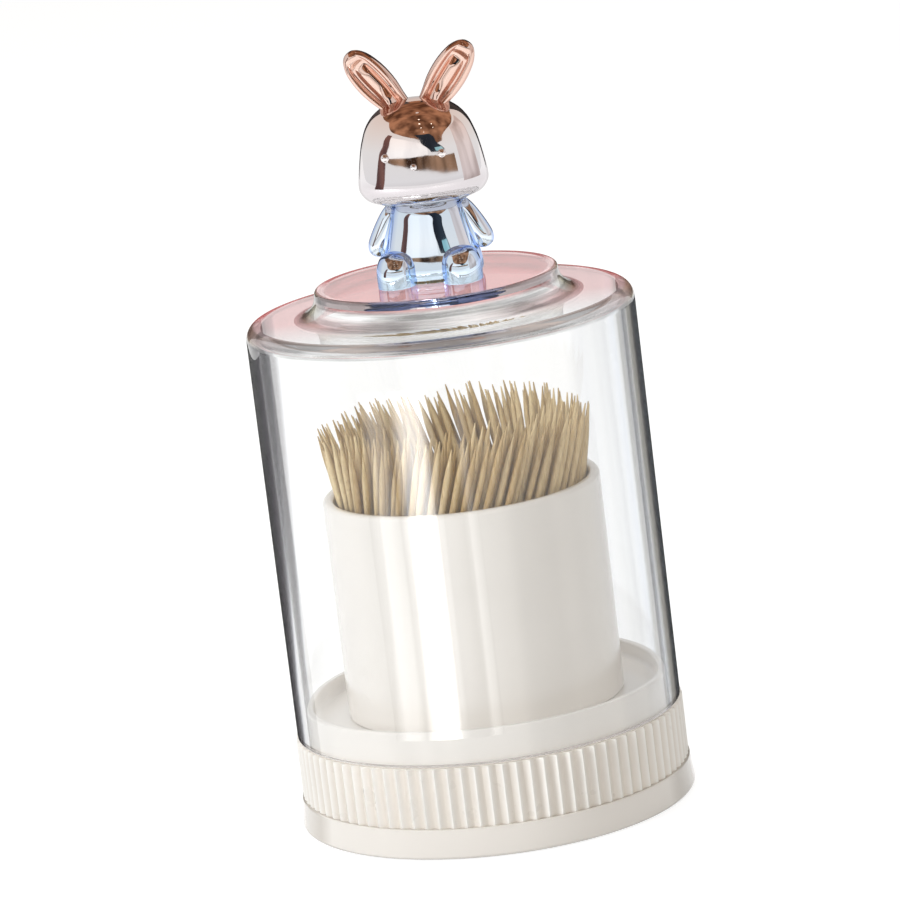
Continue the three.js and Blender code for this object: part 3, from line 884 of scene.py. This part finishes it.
def makeScrews(shape):
    steel = steelMaterial(steelLook)
    head, height, edge = shape["screwHead"], shape["screwHeadHeight"], shape["screwHeadEdge"]
    shank, core = shape["screwShank"], shape["screwShank"] - shape["threadDepth"]
    pitch, crest, length = shape["threadPitch"], shape["threadCrest"], shape["screwLength"]
    z = shape["threadStart"]
    outline = [
        (0, -height),
        (head * shape["screwHeadFlat"], -height),
        *arc(head - edge, edge - height, edge, shape["screwRound"], 0, 4),
        (head, 0),
        (core, 0),
        (core, z),
    ]
    while z + pitch < length - shape["screwPoint"]:
        middle = z + pitch / 2
        outline += [(shank, middle - crest), (shank, middle + crest), (core, z + pitch)]
        z += pitch
    tipShare, tipLength = shape["screwTip"]
    outline += [(core * tipShare, length - tipLength), (0, length)]
    reach, half = head * shape["slotReach"], shape["slotWidth"] / 2
    ends = ((1.0, -height - overrun / 2), (shape["slotTaper"], shape["slotDepth"] - height))
    corners = squareCorners[1:] + squareCorners[:1]
    for number, spot in enumerate(screwPlaces(shape), 1):
        place = spot @ Matrix.Translation((0, 0, shape["screwSeat"]))
        bars = []
        for halfX, halfY in ((reach, half), (half, reach)):
            rows = [
                [(x * halfX * share, y * halfY * share, level) for x, y in corners] for share, level in ends
            ]
            bars.append(closed([[(0, 0, rows[0][0][2])], *rows, [(0, 0, rows[1][0][2])]], place))
        screw = combine(turned(outline, 48, place), bars, "DIFFERENCE")
        makePiece(f"baseScrew{number}", screw, steel, "base", [f"base_screw_{number}"], 30)


makeFoot(baseShape)
makePad(baseShape)
makeRing(baseShape)
makeTray(baseShape)
makeScrews(baseShape)
print("base ready")


# Cup

cupShape = {
    "segments": 160,
    "wall": 2.6,
    "floor": 1.8,
    "recessHeight": 1.3,
    "footWidth": 4.2,
    "footEdge": 0.5,
    "rimShare": 0.42,  # of the wall
    "fillet": 1.6,
}


def makeCup(shape):
    low, high = lowOf("cup"), highOf("cup")
    outer = high.x
    bore = outer - shape["wall"]
    rim = shape["wall"] * shape["rimShare"]
    recess, recessTop = outer - shape["footWidth"], low.z + shape["recessHeight"]
    floor = recessTop + shape["floor"]
    edge, fillet = shape["footEdge"], shape["fillet"]
    outline = [
        (0, recessTop),
        (recess, recessTop),
        (recess, low.z),
        *arc(outer - edge, low.z + edge, edge, -1, 0),
        *arc(outer - rim, high.z - rim, rim, 0, 1, 8),
        *arc(bore + rim, high.z - rim, rim, 1, 2, 8),
        *arc(bore - fillet, floor + fillet, fillet, 0, -1),
        (0, floor),
    ]
    cup = turned(outline, shape["segments"])
    makePiece("ivoryCup", cup, plasticMaterial("cupIvory"), "cup", ["cup"])


makeCup(cupShape)
print("cup ready")


# Toothpicks: a bunch that is twisted and splayed as a whole, so that no two of them meet

pickShape = {
    "length": 65.0,
    "diameter": 1.8,  # as the bunch is packed
    "shaft": 1.5,
    "point": 9.0,
    "tipRadius": 0.13,
    # thickness along the point: shares of the point's length and of the shaft's thickness
    "taper": ((0.2, 0.36), (0.4, 0.62), (0.6, 0.84), (0.8, 0.96), (1.0, 1.0)),
    "segments": 8,
    "gap": 0.15,
    "wallClearance": 0.6,
    "floorGap": 0.3,
    "rings": 4,
    "singles": 20,
    "loose": 10,
    "looseRoom": 0.16,  # radians to each side of it within which nothing strays
    "twist": 45.0,
    "splay": 1.3,
    "referenceShare": 0.945,
    "facing": -90.0,
    "tipSpread": 0.8,  # how far a tip may lean away from its place
    "slide": (-2.0, 2.6),  # along the toothpick
    "seed": 11,
}

pickSides = ("front", "right", "back", "left")

bambooLook = {
    "pale": (0.80, 0.64, 0.37),
    "deep": (0.42, 0.27, 0.10),
    "fibre": (0.26, 0.145, 0.045),
    "grain": (1900, 5, (1, 1, 0.035)),
    "fibres": (5200, 2, (1, 1, 0.02)),
    "bump": (0.45, 0.00006),
    "grainShare": 0.55,
    "toneRange": (0.22, 0.72),
    "fibreRange": (0.6, 0.78),
    "fibreDepth": 0.75,
    "roughness": (0.48, 0.68),
}


def bambooMaterial(look):
    material, tree, shader = newMaterial("bamboo")
    tone = addNode(tree, "Attribute", attribute_name="tone").outputs["Fac"]
    grain, fibres = addNoise(tree, *look["grain"]), addNoise(tree, *look["fibres"])
    mixed = addNode(tree, "Mix", data_type="FLOAT")
    mixed.inputs[0].default_value = look["grainShare"]
    tree.links.new(tone, mixed.inputs[2])
    tree.links.new(grain, mixed.inputs[3])
    fromTone, toTone = look["toneRange"]
    colour = addRamp(tree, mixed.outputs[0], [(fromTone, look["deep"]), (toTone, look["pale"])])
    dark = addRange(tree, fibres, 0.0, look["fibreDepth"], *look["fibreRange"])
    colour = addMix(tree, dark, colour, look["fibre"])
    dress(tree, shader, colour, addRange(tree, grain, *look["roughness"]), fibres, look["bump"])
    return material


def layPicks(shape):
    bore = highOf("cup").x - cupShape["wall"]
    floor = lowOf("cup").z + cupShape["recessHeight"] + cupShape["floor"]
    rimZ = highOf("cup").z
    twist = math.radians(shape["twist"])
    drift = Vector((shape["splay"] * math.cos(twist) - 1, shape["splay"] * math.sin(twist)))
    height = shape["length"] * shape["referenceShare"]

    def widening(rise):
        return math.hypot(1 + rise / height * drift.x, rise / height * drift.y)

    radius = shape["diameter"] / 2
    bunch = (bore - radius - shape["wallClearance"]) / max(1, widening(rimZ - floor))
    lean = math.atan(bunch * drift.length / height)
    spacing = (shape["diameter"] + shape["gap"]) / math.cos(lean)
    bottomZ = floor + shape["floorGap"] + radius * math.sin(lean)
    rise = (rimZ - bottomZ) / height
    front = math.radians(shape["facing"]) - math.atan2(rise * drift.y, 1 + rise * drift.x)
    counts = [math.floor(2 * math.pi * (bunch - ring * spacing) / spacing) for ring in range(shape["rings"])]
    step = 2 * math.pi / counts[0]
    span = shape["singles"] * step
    start = front - (span + step) / 2
    sideSpan = (2 * math.pi - span) / 3
    picks = []
    for ring, count in enumerate(counts):
        ringRadius = bunch - ring * spacing
        for i in range(count):
            angle = front + 2 * math.pi * (i + ring / 2) / count
            offset = (angle - start) % (2 * math.pi)
            x, y = ringRadius * math.cos(angle), ringRadius * math.sin(angle)
            along = Vector((drift.x * x - drift.y * y, drift.y * x + drift.x * y, height)).normalized()
            side = pickSides[0 if offset < span else 1 + int((offset - span) / sideSpan)]
            place = Vector((x, y, bottomZ))
            picks.append({"ring": ring, "offset": offset, "side": side, "place": place, "along": along})
    return sorted(picks, key=lambda pick: pick["offset"])


def pickRows(shape, pick, stray, slide):
    length, radius, tip = shape["length"], shape["shaft"] / 2, shape["tipRadius"]
    ends = [(0.0, tip)] + [(at * shape["point"], size * radius) for at, size in shape["taper"]]
    profile = ends + [(length - at, size) for at, size in reversed(ends)]
    turn = Vector((0, 0, 1)).rotation_difference(pick["along"])
    rows = []
    for at, size in profile:
        centre = pick["place"] + pick["along"] * (at + slide) + stray * at / length
        row = []
        for i in range(shape["segments"]):
            angle = 2 * math.pi * i / shape["segments"]
            row.append(centre + turn @ Vector((size * math.cos(angle), size * math.sin(angle), 0)))
        rows.append(row)
    first = pick["place"] + pick["along"] * slide
    last = sum(rows[-1], Vector()) / len(rows[-1])
    return [[first], *rows, [last]]


def makePicks(shape):
    bamboo = bambooMaterial(bambooLook)
    draw = random.Random(shape["seed"])
    picks = layPicks(shape)
    singles = [pick for pick in picks if pick["ring"] == 0 and pick["side"] == "front"]
    loose = singles[shape["loose"] - 1]
    for pick in picks:
        near = pick["ring"] < 2 and abs(pick["offset"] - loose["offset"]) < shape["looseRoom"]
        spread = 0 if near else shape["tipSpread"]
        stray = Vector((draw.uniform(-1, 1), draw.uniform(-1, 1), 0)) * spread
        slide = 0 if near else draw.uniform(*shape["slide"])
        pick["form"] = skin(pickRows(shape, pick, stray, slide), looped=False)
        pick["tone"] = draw.random()

    def pickPiece(name, group, body, node):
        verts, faces, tones = [], [], []
        for pick in group:
            shift = len(verts)
            verts += pick["form"][0]
            faces += [[corner + shift for corner in face] for face in pick["form"][1]]
            tones += [pick["tone"]] * len(pick["form"][0])
        mesh = meshOf((verts, faces))
        mesh.attributes.new("tone", "FLOAT", "POINT").data.foreach_set("value", tones)
        makePiece(name, mesh, bamboo, body, [node], 50)

    for number, pick in enumerate(singles, 1):
        body = "loose_toothpick" if pick is loose else "toothpicks"
        pickPiece(f"pick{number:02d}", [pick], body, f"toothpick_{number:02d}")
    for side in pickSides:
        group = [pick for pick in picks if pick["side"] == side and pick not in singles]
        pickPiece("picks" + side.capitalize(), group, "toothpicks", "toothpicks_" + side)


makePicks(pickShape)
print("toothpicks ready")


# Cover

coverShape = {
    "segments": 192,
    "wall": 2.4,
    "height": 95.7,
    "corner": 3.0,
    "innerCorner": 1.2,
    "plateauRadius": 27.6,
    "plateauRise": 6.3,
    "plateauEdge": 0.9,
    "pegRadius": 3.0,
    "seatGap": 0.3,
    "lowerEdge": 0.25,
}

coverLook = {
    "clear": (0.985, 0.99, 0.99),
    "ior": 1.49,
    "rose": (0.81, 0.345, 0.34),  # painted reflection: rose light from the surroundings, laid on the raised disc and the back of the shoulder
    "discSoft": 0.6,  # either side of its rim
    "discRise": (-3.4, -2.6),  # from its top, where the rose begins
    "roseReflectionBehind": (-30, -4),  # towards the back, over which the shoulder takes the painted rose too
    "shoulderRise": (-2.8, -1.2),  # from the shoulder, where that begins
    "flankRise": (0.5, 2.0),  # and where the flank above it is clear again
    "redRimReflection": (0.52, 0.12, 0.12),  # painted reflection: red lines along the far rims of the disc and the shoulder
    "redWidth": (2.4, 3.8),  # of the two lines
    "redSoft": 0.3,
    "redCover": 0.8,
    "redFar": (2, 10),  # towards the back, over which the lines begin
    "redUp": (0.3, 0.6),  # how level the surface is there
    "redSlant": (0.72, 0.80),  # they show only where one looks along the surface
    "flow": (90, 2, (1, 1, 0.05)),
    "streaks": (0.95, 1.0),
    "streakRange": (0.40, 0.58),
    "smears": (60, 4, (1, 1, 0.35)),
    "roughness": (0.0, 0.03),
    "smearRange": (0.45, 0.75),
    "waves": (34, 1, (1, 1, 0.3)),
    "bump": (0.08, 0.0004),
    # painted shade: what passes where one looks along the wall is darkened by how slanting the look is, in
    # place of dark surroundings seen through its edges
    "leftEdge": [
        (0.545, (1.0, 1.0, 1.0)), (0.565, (0.92, 0.93, 0.96)), (0.588, (0.41, 0.41, 0.435)),
        (0.616, (0.245, 0.24, 0.255)), (0.644, (0.165, 0.16, 0.17)), (0.67, (0.135, 0.13, 0.14)),
        (0.70, (0.12, 0.115, 0.125)), (0.76, (0.11, 0.11, 0.115)), (0.87, (0.16, 0.16, 0.16)),
        (1.0, (0.2, 0.2, 0.2)),
    ],
    "rightEdge": [
        (0.24, (1.0, 1.0, 1.0)), (0.30, (0.86, 0.865, 0.88)), (0.40, (0.86, 0.865, 0.87)),
        (0.44, (0.77, 0.78, 0.795)), (0.51, (0.77, 0.78, 0.80)), (0.54, (0.86, 0.88, 0.90)),
        (0.575, (0.86, 0.89, 0.95)), (0.62, (0.78, 0.82, 0.89)), (0.645, (0.70, 0.72, 0.74)),
        (0.665, (0.56, 0.56, 0.55)), (0.69, (0.39, 0.385, 0.36)),
        (0.735, (0.34, 0.33, 0.31)), (0.76, (0.15, 0.148, 0.145)), (0.81, (0.10, 0.105, 0.115)),
        (1.0, (0.16, 0.17, 0.19)),
    ],
    "edgeTurn": 5.0,  # either side of the middle, over which left turns to right
    "edgeFall": (36, 112, 0.175, 0.045),  # between these heights the left and right bands widen so
    "fallPower": 1.5,
    "upright": (0.12, 0.45),  # the bands end where the surface turns level so
    "throughWall": (0.672, 0.690),  # from here on one looks into the wall and not through it
    "traces": (36, 3, (1, 1, 22)),  # painted reflections: light and dark lines along the rims
    "traceTones": (0.30, 1.0),
    "traceRange": (0.40, 0.60),
    "rimUp": ((0.08, 0.3), (0.90, 0.99)),  # the rims begin and end where the surface is level so
    "rimReflectionTint": [(0.58, (1.0, 1.0, 1.0)), (0.80, (0.52, 0.47, 0.30)), (1.0, (0.11, 0.09, 0.04))],
    "deepAfter": (6, 2),  # a look goes straight on after so many passages or reflections
}


def clearMaterial(look, shoulder, plateau, disc, outer):
    material, tree = bareMaterial("clearCover")
    shader = addNode(tree, "BsdfPrincipled", IOR=look["ior"])
    shader.inputs["Transmission Weight"].default_value = 1.0
    spots = addNode(tree, "TexCoord").outputs
    x, y, z = addNode(tree, "SeparateXYZ", spots["Object"]).outputs
    up = addNode(tree, "SeparateXYZ", spots["Normal"]).outputs["Z"]
    radius, slant = axisDistance(tree), slantOf(tree)
    path = addNode(tree, "LightPath").outputs
    white = (1.0, 1.0, 1.0)

    def rising(source, start, end):
        return shareOf(tree, source, (start * mm, end * mm))

    def falling(source, start, end):
        return shareOf(tree, source, (start * mm, end * mm), False)

    def tinted(colour, tint):
        return addMix(tree, 1.0, colour, tint, "MULTIPLY")

    # painted reflections: rose on the disc and on the back of the shoulder, and a red line along both far
    # rims
    inDisc = falling(radius, disc - look["discSoft"], disc + look["discSoft"])
    onDisc = product(tree, inDisc, rising(z, *(plateau + rise for rise in look["discRise"])))
    onShoulder = product(
        tree,
        rising(y, *look["roseReflectionBehind"]),
        rising(z, *(shoulder + rise for rise in look["shoulderRise"])),
        falling(z, *(shoulder + rise for rise in look["flankRise"])),
    )
    # the painted rose and red lines are left out where the cover is seen in a reflection
    seenStraight = addMath(tree, "LESS_THAN", path["Glossy Depth"], 1)
    paintedRose = product(tree, addMath(tree, "MAXIMUM", onDisc, onShoulder), seenStraight)
    body = addMix(tree, paintedRose, look["clear"], look["rose"])
    lines = []
    for rim, width in zip((disc, outer), look["redWidth"]):
        inner = rising(radius, rim - width, rim - width + look["redSoft"])
        lines.append(product(tree, inner, falling(radius, rim, rim + look["redSoft"])))
    red = product(
        tree,
        addMath(tree, "MAXIMUM", *lines),
        rising(y, *look["redFar"]),
        shareOf(tree, slant, look["redSlant"]),
        shareOf(tree, up, look["redUp"]),
        seenStraight,
    )
    flow = addNoise(tree, *look["flow"])
    body = tinted(body, addRange(tree, flow, *look["streaks"], *look["streakRange"]))

    # painted shade: dark bands along the upright wall's two edges, in place of dark surroundings seen
    # through them
    fromZ, toZ, fallLeft, fallRight = look["edgeFall"]
    toRight = rising(x, -look["edgeTurn"], look["edgeTurn"])
    fall = addRange(tree, toRight, fallLeft, fallRight, 0, 1)
    drop = addMath(tree, "POWER", falling(z, fromZ, toZ), look["fallPower"])
    across = addMath(tree, "SUBTRACT", slant, product(tree, drop, fall))
    leftBand, rightBand = (addRamp(tree, across, look[key]) for key in ("leftEdge", "rightEdge"))
    band = addMix(tree, toRight, leftBand, rightBand)
    band = addMix(tree, shareOf(tree, slant, look["throughWall"]), band, tinted(band, band))
    lying = shareOf(tree, addMath(tree, "ABSOLUTE", up, 0), look["upright"])
    body = tinted(body, addMix(tree, lying, band, white))

    # painted reflections: rounded rims and the flank are greenish where one looks along them, with light and
    # dark lines
    traces = addRange(tree, addNoise(tree, *look["traces"]), *look["traceTones"], *look["traceRange"])
    rim = tinted(addRamp(tree, slant, look["rimReflectionTint"]), traces)
    begins, ends = look["rimUp"]
    curved = product(tree, shareOf(tree, up, begins), shareOf(tree, up, ends, False))
    body = tinted(body, addMix(tree, curved, white, rim))
    smears = addRange(tree, addNoise(tree, *look["smears"]), *look["roughness"], *look["smearRange"])
    dress(tree, shader, body, smears, addNoise(tree, *look["waves"]), look["bump"])

    # light and shade pass straight through, and so does a look that has bounced inside the wall for long
    passages, reflections = look["deepAfter"]
    passed = addMath(tree, "GREATER_THAN", path["Transmission Depth"], passages)
    bounced = addMath(tree, "GREATER_THAN", path["Glossy Depth"], reflections)
    light = addMath(tree, "MAXIMUM", path["Is Shadow Ray"], path["Is Diffuse Ray"])
    straight = addMath(tree, "MAXIMUM", light, addMath(tree, "MAXIMUM", passed, bounced))
    # the red rim lines are a painted reflection, laid on as a matt red
    paintedGlint = addNode(tree, "BsdfDiffuse", Color=(*look["redRimReflection"], 1))
    cover = product(tree, red, look["redCover"])
    painted = addNode(tree, "MixShader", cover, shader.outputs[0], paintedGlint.outputs[0])
    passing = addNode(tree, "BsdfTransparent")
    choose = addNode(tree, "MixShader", straight, painted.outputs[0], passing.outputs[0])
    addNode(tree, "OutputMaterial", choose.outputs[0])
    return material


def makeCover(shape):
    low, high = lowOf("cover_shell"), highOf("cover_shell")
    outer, wall = high.x, shape["wall"]
    bore = outer - wall
    shoulder = low.z + shape["height"]
    flank = shape["plateauRise"] - shape["plateauEdge"]
    flankCentre = (shape["plateauRadius"] + flank, shoulder + flank)
    innerFlank = flank + wall
    underside, plateauUnderside = shoulder - wall, high.z - wall
    flankTop = math.asin((flankCentre[1] - plateauUnderside) / innerFlank) / (math.pi / 2)
    hole = shape["pegRadius"] + shape["seatGap"]
    corner, innerCorner, edge = shape["corner"], shape["innerCorner"], shape["plateauEdge"]
    lip = shape["lowerEdge"]
    outline = [
        *arc(bore + lip, low.z + lip, lip, 2, 3, 3),
        *arc(outer - lip, low.z + lip, lip, 3, 4, 3),
        *arc(outer - corner, shoulder - corner, corner, 0, 1, 12),
        *arc(*flankCentre, flank, 3, 2, 14),
        *arc(shape["plateauRadius"] - edge, high.z - edge, edge, 0, 1, 8)[1:],
        (hole, high.z),
        (hole, plateauUnderside),
        *arc(*flankCentre, innerFlank, 2 + flankTop, 3, 14),
        *arc(bore - innerCorner, underside - innerCorner, innerCorner, 1, 0, 8),
    ]
    cover = turned(outline, shape["segments"])
    clear = clearMaterial(coverLook, shoulder, high.z, shape["plateauRadius"], outer)
    makePiece("clearCover", cover, clear, "cover", ["cover_shell"])


makeCover(coverShape)
print("cover ready")


# Rabbit knob, in its own frame: soles at z = 0, face towards -Y

rabbitShape = {
    "turn": -9.0,
    "segments": 72,
    "lineSteps": 6,
    "bodyHalf": (11.2, 9.8),
    "bodyHeight": 17.5,
    "neckRadius": 4.2,
    "neckHeight": 4.0,
    "neckStart": 8.0,  # inside the body, where the peg ends
    "pegRadius": 3.0,
    "shoeHalf": (4.45, 6.0),
    "shoeHeight": 7.6,
    "shoeSpacing": 14.8,
    "shoeForward": 7.4,
    "headHalf": (14.6, 12.6),
    "headHeight": 23.0,
    "headWall": 2.0,
    "headGap": 0.3,
    "eyeRadius": 0.95,
    "eyeSpacing": 12.8,
    "eyeShare": 0.5,
    "noseRadius": 0.75,
    "noseShare": 0.4,
    "armHalf": (2.5, 2.9),
    "armLength": 12.4,
    "armTilt": 24.0,
    "shoulderSpacing": 15.6,
    "shoulderDrop": 0.4,
    "sink": 0.12,  # how far limbs and ears are let into what they sit on
    "earRise": 16.0,  # above the head, where the rose plating's ramp ends
    "innerSegments": 48,  # of its arms and of the hollow in its head
}
# half width and height along each outline, as shares
bodyLine = [(0.93, 0), (1, 0.09), (0.98, 0.26), (0.89, 0.5), (0.77, 0.76), (0.7, 0.9), (0.6, 1)]
shoeLine = [(0.99, 0), (1, 0.04), (1, 0.42), (0.93, 0.66), (0.72, 0.88), (0.36, 0.985), (0, 1)]
headLine = [
    (0.72, 0), (0.89, 0.045), (0.985, 0.12), (1.005, 0.20), (0.977, 0.34), (0.929, 0.5),
    (0.8786, 0.62), (0.789, 0.76), (0.63, 0.88), (0.37, 0.97), (0, 1),
]
armLine = [(0, 0), (0.4, 0.03), (0.7, 0.18), (0.9, 0.42), (1, 0.68), (0.95, 0.84), (0.62, 0.96), (0, 1)]

earShape = {
    "length": 17.3,
    "halfWidth": 4.1,
    "halfThickness": 2.5,
    "tilt": 38.0,
    "rootSpacing": 6.2,
    "rootDrop": 2.4,
    "around": 112,
    "rim": (0.77, 0.23, 0.78),  # its middle and half width in half widths, its height in half thicknesses
    "pad": (0.40, 0.52),  # likewise its half width and height
    "floor": 0.06,
    "grooveFrom": (-0.16, 0.02),
    "grooveTo": (0.74, 0.94),
    "padFrom": (0.02, 0.25),
    "padTo": (0.60, 0.86),
    "thinning": 0.8,
    "flare": 6.0,  # how far its root comes forward over the forehead
    "flareTop": 0.40,
    "flareShift": 0.5,
    "flarePowers": (1.6, 0.9),  # up the ear and across it
}
earLine = [
    (0.62, -0.12), (0.66, -0.02), (0.78, 0.14), (0.94, 0.32), (1, 0.5),
    (0.96, 0.66), (0.83, 0.81), (0.6, 0.92), (0.32, 0.983), (0, 1),
]

platingLook = {
    "smears": (260, 4),
    "roughness": (0.015, 0.07),
    "waves": (150, 2),
    "bump": (0.06, 0.0002),
}
# colour by height, and the deeper colour where one looks along the plating: on the blue a deeper tint of its
# lacquer, and on all three painted dark outlines in place of dark surroundings mirrored at the edges
platedLooks = {
    "plateBlue": {
        "heights": [(0.0, (0.70, 0.85, 0.99)), (0.5, (0.84, 0.91, 0.98)), (1.0, (0.76, 0.87, 0.99))],
        "slanting": (0.03, 0.20, 0.74),
        "slant": (0.36, 0.95),
    },
    "plateHead": {
        "heights": [
            (0.0, (0.50, 0.47, 0.50)), (0.06, (0.64, 0.61, 0.63)), (0.17, (0.72, 0.68, 0.70)),
            (0.27, (0.89, 0.86, 0.88)), (0.55, (0.92, 0.87, 0.86)),
            (0.75, (0.90, 0.76, 0.70)), (1.0, (0.84, 0.60, 0.50)),
        ],
        # painted dark outline along the head's sides
        "slanting": (0.13, 0.09, 0.10),
        "slant": (0.68, 1.0),
    },
    "plateRose": {
        "heights": [(0.0, (0.76, 0.46, 0.36)), (0.5, (0.84, 0.60, 0.51)), (1.0, (0.86, 0.62, 0.53))],
        "slanting": (0.36, 0.11, 0.06),
        "slant": (0.35, 1.0),
    },
}


def plateMaterial(name, fromZ, toZ):
    look = platedLooks[name]
    material, tree, shader = newMaterial(name)
    z = addNode(tree, "SeparateXYZ", addNode(tree, "TexCoord").outputs["Object"]).outputs["Z"]
    height = shareOf(tree, z, (fromZ * mm, toZ * mm))
    # painted dark outlines where one looks along the plating
    slanting = shareOf(tree, slantOf(tree), look["slant"])
    colour = addMix(tree, slanting, addRamp(tree, height, look["heights"]), look["slanting"])
    smears = addRange(tree, addNoise(tree, *platingLook["smears"]), *platingLook["roughness"])
    dress(tree, shader, colour, smears, addNoise(tree, *platingLook["waves"]), platingLook["bump"])
    shader.inputs["Metallic"].default_value = 1.0
    return material


def formRows(line, half, height, segments, inset=0.0):
    rows = [ringRow((half[0] - inset) * r, (half[1] - inset) * r, height * z, segments) for r, z in line]
    if len(rows[0]) > 1:
        rows.insert(0, [(0, 0, rows[0][0][2])])
    if len(rows[-1]) > 1:
        rows.append([(0, 0, rows[-1][0][2])])
    return rows


def roundLine(line, steps):
    # a line that ends on the axis arrives there level
    before = (-line[1][0], line[1][1]) if line[0][0] == 0 else None
    after = (-line[-2][0], line[-2][1]) if line[-1][0] == 0 else None
    points = smoothLine(line, steps, before, after)
    return [(max(0, p[0]), p[1]) for p in points]


def ease(value, low, high):
    t = min(1, max(0, (value - low) / (high - low)))
    return t * t * (3 - 2 * t)


def earFront(shape, across, pad):
    # how far the front stands out there: the rim, the pad or the floor of the groove between them
    rimMiddle, rimHalf, rimHeight = shape["rim"]
    padHalf, padHeight = shape["pad"]
    rim = rimHeight * math.sqrt(max(0, 1 - ((across - rimMiddle) / rimHalf) ** 2))
    raised = padHeight * pad * math.sqrt(max(0, 1 - (across / padHalf) ** 2))
    return max(rim, raised, shape["floor"])


def earRows(shape, side):
    line = smoothLine(earLine, 8, after=(-0.32, 0.983))
    root = -earLine[0][1]
    upPower, acrossPower = shape["flarePowers"]
    rows = []
    for share, s in line:
        share = max(0, share)
        z = s * shape["length"]
        if share < 1e-4:
            rows.append([(0, 0, z)])
            continue
        width = share * shape["halfWidth"]
        thick = shape["halfThickness"] * share**shape["thinning"]
        flare = shape["flare"] * max(0, 1 - (s + root) / (shape["flareTop"] + root)) ** upPower
        shift = side * shape["flareShift"] * max(0, 1 - s / shape["flareTop"])
        groove = ease(s, *shape["grooveFrom"]) * (1 - ease(s, *shape["grooveTo"]))
        pad = ease(s, *shape["padFrom"]) * (1 - ease(s, *shape["padTo"]))
        row = []
        for i in range(shape["around"]):
            angle = 2 * math.pi * i / shape["around"]
            across, depth = math.cos(angle), math.sin(angle)
            y = thick * depth
            if depth < 0:
                carved = -thick * earFront(shape, abs(across), pad)
                y += (carved - y) * groove
                y -= flare * max(0, 1 - abs(across - shift)) ** acrossPower * min(1, -depth * 2)
            row.append((width * across, y, z))
        rows.append(row)
    rows.insert(0, [(0, 0, rows[0][0][2])])
    return rows


def lifted(height):
    return Matrix.Translation((0, 0, height))


def makeRabbit(shape):
    ground = highOf("cover_shell").z
    place = Matrix.Translation((0, 0, ground)) @ Matrix.Rotation(math.radians(shape["turn"]), 4, "Z")
    headBottom = shape["bodyHeight"] + shape["headGap"]
    headTop = headBottom + shape["headHeight"]
    blue = plateMaterial("plateBlue", ground, ground + shape["bodyHeight"])
    silver = plateMaterial("plateHead", ground + headBottom, ground + headTop)
    rose = plateMaterial("plateRose", ground + headBottom, ground + headTop + shape["earRise"])
    lines = [roundLine(line, shape["lineSteps"]) for line in (bodyLine, shoeLine, headLine, armLine)]
    bodyCurve, shoeCurve, headCurve, armCurve = lines

    def form(curve, half, height, at, inset=0.0, segments=shape["segments"]):
        return closed(formRows(curve, half, height, segments, inset), place @ at)

    def bodyForm(inset=0.0):
        return form(bodyCurve, shape["bodyHalf"], shape["bodyHeight"], Matrix(), inset)

    def headForm(inset=0.0):
        return form(headCurve, shape["headHalf"], shape["headHeight"], lifted(headBottom), inset)

    added = []
    for side in (-1, 1):
        spot = Matrix.Translation((side * shape["shoeSpacing"] / 2, -shape["shoeForward"], 0))
        added.append(form(shoeCurve, shape["shoeHalf"], shape["shoeHeight"], spot))
    neckTop = shape["bodyHeight"] + shape["neckHeight"]
    added.append(post(shape["neckRadius"], shape["neckStart"], neckTop, place))
    added.append(post(shape["pegRadius"], -coverShape["wall"], shape["neckStart"], place))
    torso = combine(bodyForm(), added, "UNION")
    makePiece("rabbitTorso", torso, blue, "cover", ["rabbit_body"], 40)

    beads = []
    halfWidth, halfDepth = shape["headHalf"]
    for radius, x, share in (
        (shape["eyeRadius"], -shape["eyeSpacing"] / 2, shape["eyeShare"]),
        (shape["eyeRadius"], shape["eyeSpacing"] / 2, shape["eyeShare"]),
        (shape["noseRadius"], 0, shape["noseShare"]),
    ):
        width = min(headCurve, key=lambda p: abs(p[1] - share))[0]
        y = -halfDepth * width * math.sqrt(1 - (x / (halfWidth * width)) ** 2)
        spot = Matrix.Translation((x, y, headBottom + share * shape["headHeight"]))
        beads.append(closed(turnedRows(arc(0, 0, radius, -1, 1, 16), 32), place @ spot))
    head = combine(headForm(), beads, "UNION")
    wall = shape["headWall"]
    hollowHeight = shape["headHeight"] - 2 * wall
    fewer = shape["innerSegments"]
    hollow = form(headCurve, shape["headHalf"], hollowHeight, lifted(headBottom + wall), wall, fewer)
    socketTop = headBottom + shape["neckHeight"]
    socket = post(shape["neckRadius"] + shape["headGap"], headBottom - overrun, socketTop, place)
    head = combine(head, [hollow, socket], "DIFFERENCE")
    makePiece("rabbitHead", head, silver, "cover", ["rabbit_head"], 40, weighted=False)

    ear = earShape
    for side, word in ((-1, "left"), (1, "right")):
        root = Matrix.Translation((side * ear["rootSpacing"] / 2, 0, headTop - ear["rootDrop"]))
        lean = Matrix.Rotation(math.radians(side * ear["tilt"]), 4, "Y")
        blade = closed(earRows(ear, side), place @ root @ lean)
        blade = combine(blade, [headForm(shape["sink"])], "DIFFERENCE")
        name = "rabbitEar" + word.capitalize()
        makePiece(name, blade, rose, "cover", ["rabbit_ear_" + word], 50)

        shoulderAt = (side * shape["shoulderSpacing"] / 2, 0, shape["bodyHeight"] - shape["shoulderDrop"])
        hang = Matrix.Rotation(side * (math.pi - math.radians(shape["armTilt"])), 4, "Y")
        at = Matrix.Translation(shoulderAt) @ hang
        arm = form(armCurve, shape["armHalf"], shape["armLength"], at, segments=fewer)
        arm = combine(arm, [bodyForm(shape["sink"])], "DIFFERENCE")
        name = "rabbitArm" + word.capitalize()
        makePiece(name, arm, blue, "cover", ["rabbit_arm_" + word], 40)


makeRabbit(rabbitShape)
print("rabbit ready")
